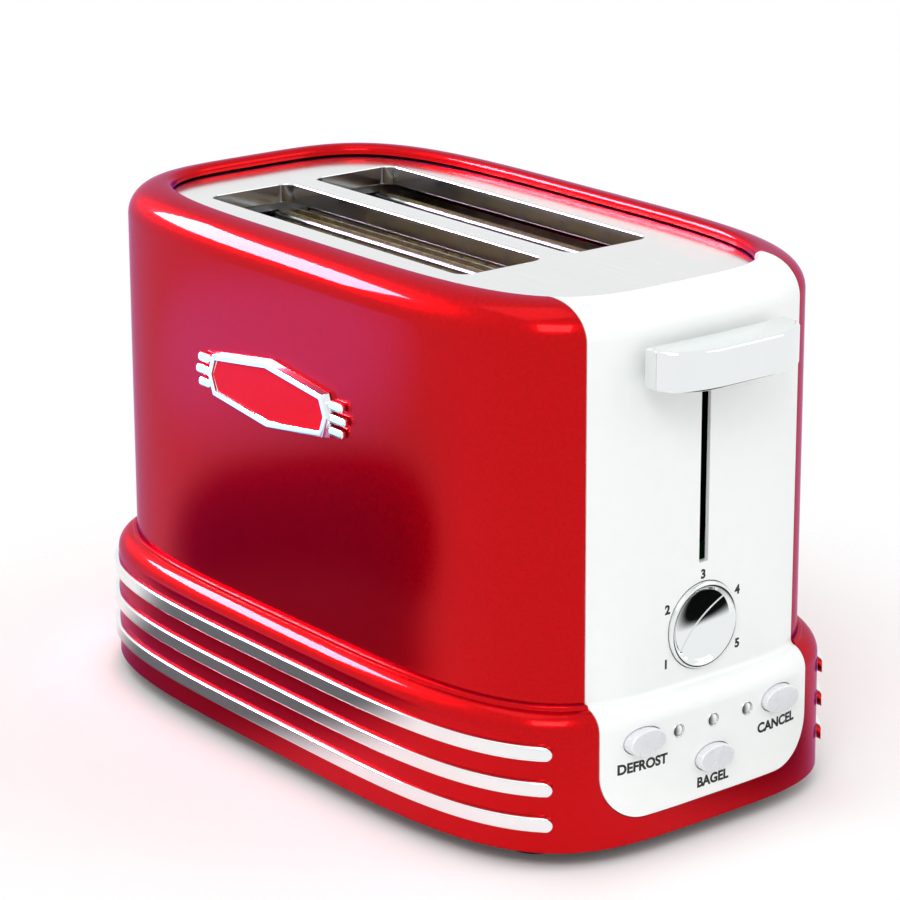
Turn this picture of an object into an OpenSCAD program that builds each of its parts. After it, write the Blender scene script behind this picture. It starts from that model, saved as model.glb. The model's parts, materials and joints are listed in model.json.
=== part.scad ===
// Two-slice toaster: a rolled-rim body on a wider banded base, with its control end facing -Y.
// Millimetres, +Z up. The feet stand on z = 0 and the outline is centred on x = 0 and y = 0.

/* [Body] */
// Power of the rounded-rectangle plan curve, where a higher one is squarer
plan_power = 4; // [3.6:0.1:4.6]
// Width of the body at its rim
body_w = 148; // [146:1:156]
// Length of the body at its rim, front to back
body_len = 265; // [258:1:272]
// Height of the body above the base
body_h = 134.1; // [128:0.1:140]
// How much further each side of the body stands out at its foot
body_draft = 0.5; // [0:0.1:2]
// Thickness of the body's sheet
body_wall = 1.6; // [1.2:0.1:2]
// Radius of the rim's outer roll
rim_round = 12; // [10:0.5:13]
// Radius of the rim's inner lip
lip_round = 2.5; // [2.2:0.1:3.4]
// Drop from the top of the rim to the top plate
plate_drop = 4.2; // [3.8:0.1:6]
// Thickness of the top plate
plate_t = 1.2; // [0.8:0.1:1.6]

/* [Base] */
// Width of the skirt at its shoulder
base_w = 162; // [160:1:172]
// Length of the skirt at its shoulder
base_len = 278; // [276:1:296]
// Gap between the floor and the skirt
base_bottom = 6.4; // [5:0.1:10]
// Height of the skirt
base_h = 48; // [46:0.5:54]
// Height of the rounded shoulder
shoulder_h = 7.5; // [6:0.5:10]
// How much further each side of the skirt stands out at its bottom edge
base_flare = 0.4; // [0:0.1:2]
// Thickness of the skirt
base_wall = 2.2; // [1.6:0.1:2.6]
// Height of the lip that stands up against the body
lip_h = 1.2; // [0.6:0.1:2]
// Gap between the lip and the body
lip_fit = 0.2; // [0.1:0.05:0.4]
// Depth of the ledge that the body stands on, below the top of the skirt
ledge_drop = 1.6; // [1:0.1:3]
// Thickness of that ledge
ledge_t = 1.8; // [1.2:0.1:2.4]
// How far the ledge reaches in past the body's sheet
ledge_reach = 1.5; // [0.5:0.1:3]
// Thickness of the bottom plate
bottom_t = 2; // [1.2:0.1:3]
// Gap round the bottom plate
bottom_fit = 0.3; // [0.2:0.05:0.6]

/* [Front panel] */
// Width of the front panel
panel_w = 92.6; // [86:0.1:98]
// Thickness of the front panel
panel_wall = 2.4; // [1.8:0.1:2.8]
// Gap between the panel and the red shells
seam = 0.3; // [0.2:0.05:0.6]
// Height of the tongue's lower edge above the bottom edge of the skirt
tongue_low = 8.8; // [8:0.1:13]
// Radius of the tongue's lower corners
tongue_round = 17; // [8:0.5:18]
// Height of the hollow fillet over the shoulder
fillet_h = 2; // [1:0.1:4]
// Half width of the panel's flat middle
flat_x = 12; // [8:1:14]

/* [Trim bands] */
// Height of a band
band_h = 5.3; // [4:0.1:6]
// How far a band stands out of the skirt
band_stand = 1.5; // [1:0.1:2.5]
// Bevel along a band's edges
band_bevel = 0.8; // [0.2:0.1:0.9]
// Distance between bands
band_pitch = 12.4; // [10:0.1:12.8]
// Height of the lowest band above the bottom edge of the skirt
band_low = 10.4; // [10:0.1:12]
// Distance from the middle plane to a band's tip
band_end = 61; // [54:1:66]
// Gap behind a band
band_fit = 0.1; // [0.05:0.05:0.3]

/* [Badge] */
// Length of the badge frame
badge_len = 66; // [50:1:80]
// Height of the frame in its middle
badge_h = 25; // [20:0.5:30]
// Height of the frame at its ends
badge_end_h = 16; // [10:0.5:18]
// How far the frame's ends come to a point
badge_point = 3; // [1:0.5:5]
// Width of the frame's border
badge_border = 2.6; // [2:0.1:4]
// How far the frame stands out
badge_stand = 3; // [2:0.1:4]
// Depth of the pocket for the inlay
badge_pocket = 1.8; // [1:0.1:1.9]
// Thickness of the inlay
inlay_t = 1.3; // [0.8:0.1:1.6]
// Length of the bars at each end of the frame
badge_bar_len = 11; // [6:0.5:14]
// Height of a bar
badge_bar_h = 3.2; // [2:0.1:3.4]
// Distance between bars
badge_bar_pitch = 4.5; // [3.8:0.1:5]
// How far a bar stands out
badge_bar_stand = 2.1; // [1:0.1:2.4]
// Distance from the body's middle to the badge's middle, towards the rear
badge_y = 5; // [-10:1:20]
// Drop from the rim to the middle of the badge
badge_drop = 53.3; // [40:0.5:70]

/* [Lever] */
// Drop from the rim to the middle of the lever at rest
lever_drop = 20.5; // [20:0.5:24]
// Travel of the lever
lever_travel = 66; // [60:1:68]
// Width of the lever handle
handle_w = 60.4; // [50:0.2:76]
// Height of the lever handle
handle_h = 13.5; // [10:0.5:15]
// Depth of the lever handle at its middle
handle_d = 15; // [12:0.5:18]
// Width of the flat front of the handle
handle_flat = 20; // [10:1:36]
// Gap between the panel and the back of the handle at its middle
handle_gap = 4.4; // [4:0.1:8]
// Gap between the panel and the back of the handle at its ends
handle_end_gap = 3; // [1.5:0.1:3.8]
// How far the back corners of the handle are cut away
handle_cut = 1; // [0.5:0.1:3]
// Depth of the straight part of each end
handle_side = 4.6; // [2:0.1:6]
// Width of the slot that the lever runs in
lever_slot = 4; // [3.6:0.1:5]
// Thickness of the lever's arm
arm_t = 2.6; // [2:0.1:3]
// Height of the lever's arm
arm_h = 6; // [5:0.5:11]
// Spare length of the slot above the arm at rest
slot_spare = 0.5; // [0.5:0.1:1]
// Spare length of the slot below the arm at the end of its travel
slot_under = 3.4; // [0.5:0.1:4]
// Height of the carriage's top above the middle of the lever
bracket_rise = 5; // [4:0.5:6]

/* [Knob and buttons] */
// Height of the knob's axis above the base
knob_rise = 19.3; // [18.5:0.1:22]
// Diameter of the knob
knob_d = 30; // [24:0.5:31]
// Thickness of the knob
knob_t = 4.4; // [4:0.1:5.5]
// How far the knob's rim stands out of the panel
knob_stand = 1.4; // [1:0.1:2.5]
// Gap round the knob in the panel
knob_fit = 0.4; // [0.3:0.1:0.8]
// Depth of the dish in the knob's face
knob_dish = 3; // [1:0.1:3.2]
// Width of the knob's rim round the dish
knob_rim = 1.4; // [0.8:0.1:2.5]
// Width of the ridge across the dish
ridge_w = 3; // [2:0.5:8]
// Height of the ridge
ridge_h = 1; // [0.5:0.1:3]
// Diameter of the knob's shaft
shaft_d = 6; // [4:0.5:7]
// Running gap round the shaft
shaft_fit = 0.05; // [0.02:0.01:0.1]
// Angle of the pointer at rest, clockwise from the top
pointer_angle = 50; // [-120:10:120]
// Width of a button
button_w = 15.3; // [12:0.1:17]
// Height of a button
button_h = 9.2; // [8:0.1:11]
// How far a button stands out
button_stand = 3; // [2.8:0.1:4]
// Travel of a button
button_travel = 2.5; // [1.5:0.1:2.6]
// Gap round a button
button_fit = 0.3; // [0.2:0.05:0.5]
// How much wider a button's flange is than its cap
flange_grow = 3; // [2:0.1:4]
// Thickness of a button's flange
button_flange_t = 1.2; // [0.8:0.1:2]
// Gap between a button's flange and the panel
flange_gap = 0.6; // [0.4:0.1:1]
// Diameter of a button's stem
stem_d = 5; // [4:0.5:7]
// Least length of a button's stem
stem_least = 2; // [1:0.5:4]
// Distance from the middle plane to a side button
button_x = 30.2; // [28:0.1:32]
// Drop from the top of the base to the upper row of buttons
row_drop = 12.5; // [12:0.1:14]
// Drop from the upper row to the lower button
row_pitch = 13.1; // [12:0.1:14]
// Diameter of an indicator lens
lens_d = 4.6; // [3:0.1:6]
// Distance between lenses
lens_pitch = 15.4; // [13:0.1:16]
// How far a lens stands out
lens_stand = 0.8; // [0.4:0.1:1.5]
// Length of a lens
lens_len = 6; // [4:0.5:8]
// Gap round a lens
lens_fit = 0.05; // [0.02:0.01:0.1]

/* [Bread slots and oven] */
// Length of a bread slot
bread_len = 148; // [140:1:150]
// Width of a bread slot
bread_w = 36; // [34:0.5:37]
// Distance from the middle plane to the middle of a slot
bread_x = 23.5; // [23.5:0.1:24.5]
// Distance from the body's middle to the slots' middle, towards the rear
bread_y = 16; // [14:0.5:18]
// Depth of the lip turned down round a slot
collar_h = 6; // [4:0.5:8]
// Room between a slot's end and the chassis plate
oven_margin = 4.5; // [3:0.5:5]
// Thickness of the chassis plates and reflectors
sheet = 1; // [0.8:0.1:1.5]
// Distance from a slot's edge to its heater board
board_gap = 2.5; // [2:0.1:3]
// Thickness of a heater board
mica_t = 1; // [0.6:0.1:1.2]
// Height of the heater boards above the bottom plate
mica_low = 18; // [16:1:24]
// Gap between the heater boards and the slot lips
mica_top_gap = 5; // [3:0.5:8]
// Thickness of the heater ribbon
ribbon_t = 0.4; // [0.3:0.1:0.6]
// Height of the heater ribbon
ribbon_h = 3; // [2:0.5:4]
// Runs of heater ribbon on a board
ribbon_runs = 11; // [7:2:13]
// Margin between the heater ribbon and the edges of its board
ribbon_inset = 10; // [6:0.5:14]
// Distance from an outer heater board to its reflector
reflector_gap = 7; // [5:0.5:8]
// How much lower a reflector reaches than a heater board
reflector_skirt = 4; // [0:0.5:8]
// Gap between the rim's hem and the sides of the chassis plates
chassis_gap = 1.5; // [1:0.1:3]

/* [Bread guards] */
// Distance from a slot's middle to an open guard
guard_open = 15.5; // [15:0.1:16]
// How far a guard closes as the lever goes down
guard_travel = 6; // [4:0.1:6]
// Diameter of a guard's upright wires
wire_d = 1.6; // [1.2:0.1:1.8]
// Diameter of a guard's rails
rail_d = 2; // [1.8:0.1:2.4]
// Number of upright wires in a guard
wires = 6; // [4:1:8]
// Distance between upright wires
wire_pitch = 24; // [14:1:26]
// Gap round a rail in its chassis slot
rail_fit = 0.3; // [0.2:0.05:0.5]
// How far a rail reaches through a chassis plate
rail_through = 2; // [1:0.5:3]
// Height of a guard's lower rail above the bottom plate
guard_low = 26; // [22:1:30]

/* [Carriage] */
// Diameter of the guide rod
rod_d = 5; // [4:0.5:6]
// Distance from the front chassis plate to the rod's axis
rod_out = 20.5; // [19:0.5:24]
// Running gap round the rod
rod_fit = 0.05; // [0.02:0.01:0.1]
// Outer diameter of the bush on the rod
bush_d = 11; // [9:0.5:12]
// Length of the bush
bush_len = 28; // [20:1:30]
// How far the carriage's web stands past the bush
web_reach = 2.5; // [1.5:0.5:4]
// Width of the carriage's web
web_w = 5.5; // [4:0.5:8]
// Thickness of the tabs that hold the guide rod, of the spring's ear and of the armature
tab_t = 2; // [1.5:0.1:3]
// Margin of a tab round the bush
tab_margin = 2; // [1:0.5:3]
// Height of the lower tab above the bottom plate
tab_low = 12; // [8:1:16]
// Drop from the top plate to the upper tab
tab_drop = 5; // [4:0.5:8]
// How far the guide rod stands out of its tabs
rod_end = 2; // [1:0.5:2.5]
// Gap between pieces that pass each other
pass_gap = 0.3; // [0.2:0.05:0.5]
// Thickness of the carriage bracket
bracket_t = 2; // [1.5:0.1:2.5]
// Distance from the front chassis plate to the bracket
bracket_out = 6.5; // [5:0.5:8]
// Thickness of a rack's spine
spine_t = 3; // [2:0.1:3.5]
// Height of a rack's spine
spine_h = 8; // [6:0.5:10]
// Width of a rack's cross bars
rack_w = 15; // [10:0.5:15.5]
// Number of cross bars in a rack
rack_bars = 9; // [5:1:9]
// Distance between cross bars
rack_pitch = 16; // [12:0.5:16]
// Thickness of a cross bar
rack_bar = 3; // [2:0.5:4]
// Height of a lowered rack above the bottom plate
rack_low = 26; // [24:1:30]
// How far a rack's spine reaches through the rear chassis plate
spine_tail = 4; // [2:0.5:8]
// Gap round a rack's spine in its chassis slot
spine_fit = 0.5; // [0.3:0.1:0.8]

/* [Lift spring] */
// Outer diameter of the spring
spring_d = 8; // [6:0.5:9]
// Diameter of the spring wire
spring_wire = 1; // [0.8:0.1:1.2]
// Turns of the spring
spring_turns = 12; // [8:1:14]
// Distance from the middle plane to the spring's axis
spring_x = 18; // [15:0.5:20]
// Drop from the lever to the spring's ear
ear_drop = 22; // [18:1:26]
// Margin of the ear and the upper tab round the spring
ear_margin = 1; // [0.5:0.5:2]
// Gap between the spring and the carriage bracket
spring_out = 1.5; // [1:0.5:3]

/* [Controls inside] */
// Gap between the panel and the control board
board_set = 10.5; // [10:0.5:13]
// Thickness of the control board
board_t = 1.6; // [1.2:0.1:2]
// Width of the control board
board_w = 88; // [80:1:90]
// Height of the control board's lower edge above the bottom plate
board_low = 4; // [2:0.5:6]
// Gap between the control board and the lowered lever
board_clear = 3; // [2:0.5:6]
// Width of the board's bracket
bracket_w = 58; // [40:1:70]
// Height of the board's bracket
bracket_h = 32; // [20:1:40]
// Length of the foot of the board's bracket
bracket_foot = 16; // [10:1:18]
// Size of a button switch
switch_w = 7; // [5:0.5:8]
// Depth of a button switch
switch_d = 6; // [4:0.5:6.5]
// Diameter of an indicator lamp
led_d = 5; // [3:0.5:5]
// Width of the browning control
control_w = 16; // [12:0.5:18]
// Depth of the browning control
control_d = 7; // [6:0.5:7.5]
// Length of the browning control's nose
nose_len = 2.4; // [1:0.1:2.8]
// Wall of the browning control's nose
nose_wall = 1.5; // [1:0.1:2]
// How far the knob's shaft reaches into the browning control
shaft_grip = 4.7; // [3:0.1:5]
// Width of the magnet's foot and of the armature
magnet_w = 16; // [12:0.5:18]
// Height of the magnet's foot
magnet_foot = 4; // [3:0.5:6]
// How far the coil stays below the top of the magnet's post
coil_short = 4; // [2:0.5:6]
// How far the coil stays inside the edge of the magnet's foot
coil_inset = 0.5; // [0.2:0.1:1]
// Gap between the coil and the magnet's post
coil_fit = 0.2; // [0.1:0.05:0.4]
// Width of the magnet's post
post_w = 8; // [6:0.5:9]
// Distance from the middle plane to the magnet
magnet_x = 18; // [17.5:0.5:22]
// Gap between the armature and the magnet when the lever is down
magnet_gap = 0.3; // [0.2:0.05:0.6]

/* [Crumb tray] */
// Width of the tray
tray_w = 100; // [90:1:100]
// Depth of the tray
tray_h = 5.3; // [5:0.1:5.5]
// Thickness of the tray's sheet
tray_t = 0.8; // [0.6:0.1:1]
// Gap under and beside the tray
tray_fit = 0.3; // [0.2:0.05:0.4]
// Thickness of a tray rail
tray_rail = 1.5; // [1:0.1:1.8]
// Gap between a rail's end and the pull
rail_stop = 5; // [3:0.5:10]
// Gap between the front chassis plate and the tray
tray_margin = 3; // [2:0.5:6]
// Thickness of the tray pull at its ends
pull_end = 3; // [2:0.1:5]
// How far the pull reaches past the tray at each side
pull_reach = 0.5; // [0.2:0.1:1]
// Gap beside the pull
pull_fit = 0.5; // [0.3:0.1:1]
// Radius of the finger scoop under the pull
scoop_r = 12; // [8:1:20]
// Height of the finger scoop
scoop_h = 3.6; // [2:0.1:4.5]

/* [Feet and gland] */
// Diameter of a foot
foot_d = 22; // [16:1:26]
// Distance from the side of the skirt to a foot's middle
foot_inset_x = 32; // [27:0.5:36]
// Distance from the end of the skirt to a foot's middle
foot_inset_y = 33; // [30:0.5:44]
// Depth of the recess for a foot screw's head
foot_recess = 3; // [2.5:0.1:3.5]
// Diameter of a foot screw's head
head_d = 8; // [7:0.5:9]
// Height of a foot screw's head
head_h = 2; // [1.5:0.1:2.2]
// Diameter of a foot screw's shank
screw_d = 4; // [3:0.5:5]
// Gap round a foot screw
screw_fit = 0.2; // [0.1:0.05:0.3]
// Diameter of the cord hole through the gland
cord_hole = 7.2; // [6:0.1:8]
// Outer diameter of the gland's neck
gland_d = 10.8; // [10:0.1:13]
// Diameter of the gland's flange
gland_flange = 16; // [14:0.5:20]
// Thickness of the gland's flange
flange_t = 2.6; // [1.5:0.1:4]
// Length of the gland's neck
gland_len = 8; // [5:0.5:12]
// Gap round the gland
gland_fit = 0.15; // [0.1:0.05:0.3]
// Height of the gland above the base
gland_rise = 23.6; // [14:0.1:30]

/* [Hidden] */
$fn = 48;

red = "#b3141c";
white = "#eff2f0";
bright = "#d9dcdf";
steel = "#b4b8ba";
dark = "#22201f";

// Steps round the plan, round the rim, along the panel, round its corners and up the shoulder
plan_steps = 72;
rim_steps = 6;
lip_steps = 3;
panel_steps = 4;
corner_steps = 6;
shoulder_steps = 6;
shoulder_end = 75;
// Overlap that joins two shapes of one piece
weld = 0.01;

// Heights
floor_z = base_bottom + bottom_t;
base_top = base_bottom + base_h;
shoulder_z = base_top - shoulder_h;
ledge_z = base_top - ledge_drop;
body_top = base_top + body_h;
rim_z = body_top - rim_round;
plate_z = body_top - plate_drop;
plate_low = plate_z - plate_t;
tongue_z = base_bottom + tongue_low;
knob_z = base_top + knob_rise;
row_z = base_top - row_drop;
low_row_z = row_z - row_pitch;
lever_z = body_top - lever_drop;
lever_low = lever_z - lever_travel;
gland_z = base_top + gland_rise;
badge_z = body_top - badge_drop;

// Plan sizes
rim_w = rim_round + lip_round;
panel_x = panel_w / 2;
gap_x = panel_x + seam;

// The body's half sizes at a height
function body_out(z) = body_draft * max(0, rim_z - z) / (rim_z - base_top);
function body_a(z) = body_w / 2 + body_out(z);
function body_b(z) = body_len / 2 + body_out(z);
function body_at(z, inward = 0) = [body_a(z) - inward, body_b(z) - inward, z];

// The skirt's half sizes at a height
function base_out(z) = base_flare * max(0, shoulder_z - z) / (shoulder_z - base_bottom);
function base_a(z) = base_w / 2 + base_out(z);
function base_b(z) = base_len / 2 + base_out(z);
function base_at(z, inward = 0) = [base_a(z) - inward, base_b(z) - inward, z];

// The plan curve: the point at angle t, and y at a distance x from the middle plane
function plan_k(t) = pow(pow(abs(cos(t)), plan_power) + pow(abs(sin(t)), plan_power), -1 / plan_power);
function plan_point(p, t) = [p[0] * plan_k(t) * cos(t), p[1] * plan_k(t) * sin(t), p[2]];
function plan_y(p, x) = p[1] * pow(1 - pow(abs(x) / p[0], plan_power), 1 / plan_power);
function plan_start(p, x) = -atan2(plan_y(p, x) / p[1], x / p[0]);
function plan_outline(a, b) = [
    for (i = [0:plan_steps - 1])
        let (p = plan_point([a, b, 0], 360 * i / plan_steps)) [p[0], p[1]]
];

// Columns of profile points all round the plan, or from one front end to the other
function ring_columns(profile) = [
    for (i = [0:plan_steps - 1]) [for (p = profile) plan_point(p, 360 * i / plan_steps)]
];
function open_columns(profile, end_x) = [
    for (i = [0:plan_steps])
        [for (p = profile)
            let (t0 = plan_start(p, end_x)) plan_point(p, t0 + (180 - 2 * t0) * i / plan_steps)]
];

// A solid skin over columns of points, closed into a ring or capped at both ends
module skin(columns, ring = false) {
    n = len(columns[0]);
    m = len(columns);
    last = ring ? m - 1 : m - 2;
    sides = [
        for (i = [0:last], j = [0:n - 1], half = [0, 1])
            let (k = (i + 1) % m, l = (j + 1) % n)
            half == 0 ? [i * n + j, i * n + l, k * n + l] : [i * n + j, k * n + l, k * n + j]
    ];
    caps = ring ? [] : [[for (j = [n - 1:-1:0]) j], [for (j = [0:n - 1]) (m - 1) * n + j]];
    polyhedron(points = [for (c = columns) each c], faces = concat(sides, caps));
}

function arc(centre, r, from, to, steps) = [
    for (i = [0:steps])
        let (a = from + (to - from) * i / steps) centre + r * [cos(a), sin(a)]
];
function tail(list) = [for (i = [1:len(list) - 1]) list[i]];

// The rim's rolled section from outside to the hem and back inside, as inward offset and height
function rim_outside() = concat(
    arc([rim_round, rim_z], rim_round, 180, 90, rim_steps),
    tail(arc([rim_round, body_top - lip_round], lip_round, 90, 0, lip_steps)),
    [[rim_w, plate_z]]
);
function rim_inside(wall) = concat(
    [[rim_w - wall, plate_z]],
    arc([rim_round, body_top - lip_round], max(lip_round - wall, 0.1), 0, 90, lip_steps),
    tail(arc([rim_round, rim_z], rim_round - wall, 90, 180, rim_steps))
);
function rim_section(wall) = [
    for (p = concat(rim_outside(), rim_inside(wall))) body_at(p[1]) - [p[0], p[0], 0]
];

// A point of the shoulder between the skirt and the body, where turn 0 is upright and 90 is flat
function between(share, z, inward, fit) =
    let (low = base_at(shoulder_z, inward), high = body_at(base_top, inward - fit))
    [low[0] + (high[0] - low[0]) * share, low[1] + (high[1] - low[1]) * share, z];
function shoulder(turn, inward = 0, fit = 0) =
    between(1 - cos(turn), shoulder_z + (shoulder_h - inward) * sin(turn), inward, fit);
function shoulder_rise(inward = 0, fit = 0) = [
    for (i = [1:shoulder_steps]) shoulder(shoulder_end * i / shoulder_steps, inward, fit)
];

function body_profile() = concat(
    [body_at(ledge_z)],
    rim_section(body_wall),
    [body_at(ledge_z, body_wall)]
);

function base_profile() =
    let (lip = 1 - cos(shoulder_end))
    concat(
        [base_at(base_bottom), base_at(shoulder_z)],
        shoulder_rise(0, lip_fit),
        [
            between(lip + 0.05, base_top + 0.7 * lip_h, 0, lip_fit),
            between(lip + 0.12, base_top + lip_h, 0, lip_fit),
            between(1, base_top + lip_h, 0, lip_fit),
            between(1, ledge_z, 0, lip_fit)
        ],
        [
            body_at(ledge_z, body_wall + ledge_reach),
            body_at(ledge_z - ledge_t, body_wall + ledge_reach),
            base_at(shoulder_z - ledge_t, base_wall),
            base_at(base_bottom, base_wall)
        ]
    );

// The panel's section where its lower edge is at height low
function panel_profile(low) =
    let (share = 1 - cos(shoulder_end), top = shoulder_z + shoulder_h * sin(shoulder_end))
    concat(
        [base_at(low), base_at(shoulder_z)],
        shoulder_rise(),
        [for (a = [30, 60, 90]) between(share + (1 - share) * sin(a), top + fillet_h * (1 - cos(a)), 0, 0)],
        rim_section(panel_wall),
        [for (i = [shoulder_steps:-1:0]) shoulder(90 * i / shoulder_steps, panel_wall)],
        [base_at(low, panel_wall)]
    );
function tongue_edge(x) =
    let (past = max(0, abs(x) - (panel_x - tongue_round)))
    tongue_z + tongue_round - sqrt(tongue_round * tongue_round - past * past);
panel_half = concat(
    [for (i = [0:panel_steps]) flat_x + (panel_x - tongue_round - flat_x) * i / panel_steps],
    [for (i = [1:corner_steps]) panel_x - tongue_round * (1 - sin(90 * i / corner_steps))]
);
panel_columns = concat([for (i = [len(panel_half) - 1:-1:0]) -panel_half[i]], panel_half);

// Buttons stand at [x, z], with the lenses in a row between them, and button flanges lie at a shelf
defrost_at = [-button_x, row_z];
bagel_at = [0, low_row_z];
cancel_at = [button_x, row_z];
lens_at = [for (i = [-1, 0, 1]) [i * lens_pitch, row_z]];
function button_shelf(at) = flange_gap - plan_y(
    base_at(at[1] + (button_h + flange_grow) / 2, panel_wall),
    abs(at[0]) + (button_w + flange_grow) / 2
);

// Places in the plan that the pieces share
handle_back = -body_b(lever_z) - handle_gap;
oven_front = bread_y - bread_len / 2 - oven_margin;
oven_rear = bread_y + bread_len / 2 + oven_margin;
plate_front = oven_front - sheet;
plate_rear = oven_rear + sheet;
rod_y = plate_front - rod_out;
bracket_back = plate_front - bracket_out;
bracket_front = bracket_back - bracket_t;
web_front = rod_y - bush_d / 2 - web_reach;
board_face = max(
    -body_len / 2 + panel_wall + board_set,
    button_shelf(defrost_at) + button_flange_t + stem_least + button_travel + pass_gap + switch_d
);
board_back = board_face + board_t;
board_top = lever_low - arm_h / 2 - board_clear;
switch_face = board_face - switch_d;
mica_face = bread_w / 2 + board_gap;
reflector_x = bread_x + mica_face + mica_t + reflector_gap;
chassis_x = max(body_w / 2 - rim_w - chassis_gap, reflector_x + sheet);
mica_z = floor_z + mica_low;
mica_top = plate_low - collar_h - mica_top_gap;
guard_z = floor_z + guard_low;
guard_top = mica_top;
rack_down = floor_z + rack_low;
rack_z = rack_down + lever_travel;
lower_tab_z = floor_z + tab_low;
upper_tab_z = plate_low - tab_drop;
ear_z = lever_z - ear_drop;
spring_left = -spring_x - spring_d / 2 - ear_margin;
spring_right = -spring_x + spring_d / 2 + ear_margin;
spring_y = bracket_front - spring_out - spring_d / 2;

// The crumb tray's places
tray_z = floor_z + tray_fit;
tray_top = tray_z + tray_h;
tray_x = tray_w / 2;
tray_front = oven_front + tray_margin;
pull_x = tray_x + pull_reach;
notch_x = pull_x + pull_fit;
tray_rear = plan_y(base_at(floor_z), pull_x) - pull_end;

// The outline's reach to the front and the rear, and the shift that centres it
front_reach = -handle_back + handle_d;
rear_reach = base_b(base_bottom + band_low - band_h / 2 + band_bevel) + band_stand;
centre_shift = (front_reach - rear_reach) / 2;
module placed() translate([0, centre_shift, 0]) children();

// Extrudes a front view from y towards the front, or a left view from x towards the left
module from_front(y, depth) translate([0, y, 0]) rotate([90, 0, 0]) linear_extrude(depth) children();
module from_left(x, depth) translate([x, 0, 0]) rotate([90, 0, -90]) linear_extrude(depth) children();

// A block between two corners, and a rod along y or z
module block(low, high) translate(low) cube(high - low);
module round_y(x, y, z, d, length) translate([x, y, z]) rotate([-90, 0, 0]) cylinder(d = d, h = length);
module round_z(x, y, z, d, length) translate([x, y, z]) cylinder(d = d, h = length);
module ellipse(w, h) polygon([for (a = [0:15:345]) [w / 2 * cos(a), h / 2 * sin(a)]]);

// The opening for the front panel's tongue, seen from the front
module tongue_opening() {
    r = tongue_round + seam;
    low = tongue_z - seam;
    translate([-gap_x, low + r]) square([2 * gap_x, body_top]);
    translate([-gap_x + r, low]) square([2 * (gap_x - r), 2 * r]);
    for (side = [-1, 1]) translate([side * (gap_x - r), low + r]) circle(r);
}

// The place of the rear panel, below the rim and as wide as the front panel
module rear_place(gap) block([-panel_x - gap, 0, 0], [panel_x + gap, body_len, rim_z - seam + gap]);

module body_shell() color(red) placed() difference() {
    skin(open_columns(body_profile(), gap_x));
    rear_place(seam);
}

module rear_panel() color(red) placed() difference() {
    intersection() {
        skin(open_columns(body_profile(), gap_x));
        rear_place(0);
    }
    round_y(0, 0, gland_z, gland_d + 2 * gland_fit, body_len);
}

module base_skirt() color(red) placed() difference() {
    skin(ring_columns(base_profile()), ring = true);
    from_front(0, base_len) tongue_opening();
    block([-notch_x, 0, 0], [notch_x, base_len, tray_top + tray_fit]);
}

module front_panel() color(white) placed() difference() {
    skin([
        for (x = panel_columns)
            [for (p = panel_profile(tongue_edge(x))) [x, -plan_y(p, x), p[2]]]
    ]);
    from_front(0, base_len) {
        translate([-lever_slot / 2, lever_low - arm_h / 2 - slot_under])
            square([lever_slot, lever_travel + arm_h + slot_spare + slot_under]);
        for (at = [defrost_at, bagel_at, cancel_at]) translate(at)
            ellipse(button_w + 2 * button_fit, button_h + 2 * button_fit);
        for (at = lens_at) translate(at) circle(d = lens_d + 2 * lens_fit);
        translate([0, knob_z]) circle(d = knob_d + 2 * knob_fit);
    }
}

module top_plate() color(bright) placed() {
    edge = rim_w - body_wall;
    difference() {
        union() {
            translate([0, 0, plate_low]) linear_extrude(plate_t)
                polygon(plan_outline(body_w / 2 - edge, body_len / 2 - edge));
            for (side = [-1, 1]) translate([side * bread_x, bread_y, plate_low - collar_h])
                linear_extrude(collar_h + plate_t / 2)
                    square([bread_w + 2 * plate_t, bread_len + 2 * plate_t], center = true);
        }
        for (side = [-1, 1]) translate([side * bread_x, bread_y, plate_low - 2 * collar_h])
            linear_extrude(4 * collar_h) square([bread_w, bread_len], center = true);
    }
}

function band_profile(z) = [
    for (p = [
        [band_fit, -band_h / 2], [band_stand - band_bevel, -band_h / 2], [band_stand, band_bevel - band_h / 2],
        [band_stand, band_h / 2 - band_bevel], [band_stand - band_bevel, band_h / 2], [band_fit, band_h / 2]
    ]) base_at(z + p[1], -p[0])
];
module trim_band(row) color(bright) placed()
    skin(open_columns(band_profile(base_bottom + band_low + row * band_pitch), band_end));
module trim_band_lower() trim_band(0);
module trim_band_middle() trim_band(1);
module trim_band_upper() trim_band(2);

// The badge seen from the left: a long octagon with short bars at both ends
badge_back = -body_a(badge_z - badge_h / 2) - band_fit;
module badge_octagon(inward) {
    x = badge_len / 2 - inward;
    top = badge_h / 2 - inward;
    side = badge_end_h / 2 - inward * badge_end_h / badge_h;
    translate([-badge_y, badge_z]) polygon([
        [-x - badge_point, 0], [-x, side], [0, top], [x, side],
        [x + badge_point, 0], [x, -side], [0, -top], [-x, -side]
    ]);
}
module badge_frame() color(bright) placed() {
    difference() {
        from_left(badge_back, badge_stand) badge_octagon(inward = 0);
        from_left(badge_back - badge_stand + badge_pocket, badge_stand) badge_octagon(badge_border);
    }
    for (end = [-1, 1], row = [-1, 0, 1])
        from_left(badge_back, badge_bar_stand)
            translate([-badge_y + end * (badge_len + badge_bar_len) / 2, badge_z + row * badge_bar_pitch])
                square([badge_bar_len - abs(row) * badge_point, badge_bar_h], center = true);
}
module badge_plate() color(red) placed()
    from_left(badge_back - badge_stand + badge_pocket, inlay_t)
        badge_octagon(badge_border + band_fit);

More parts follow.
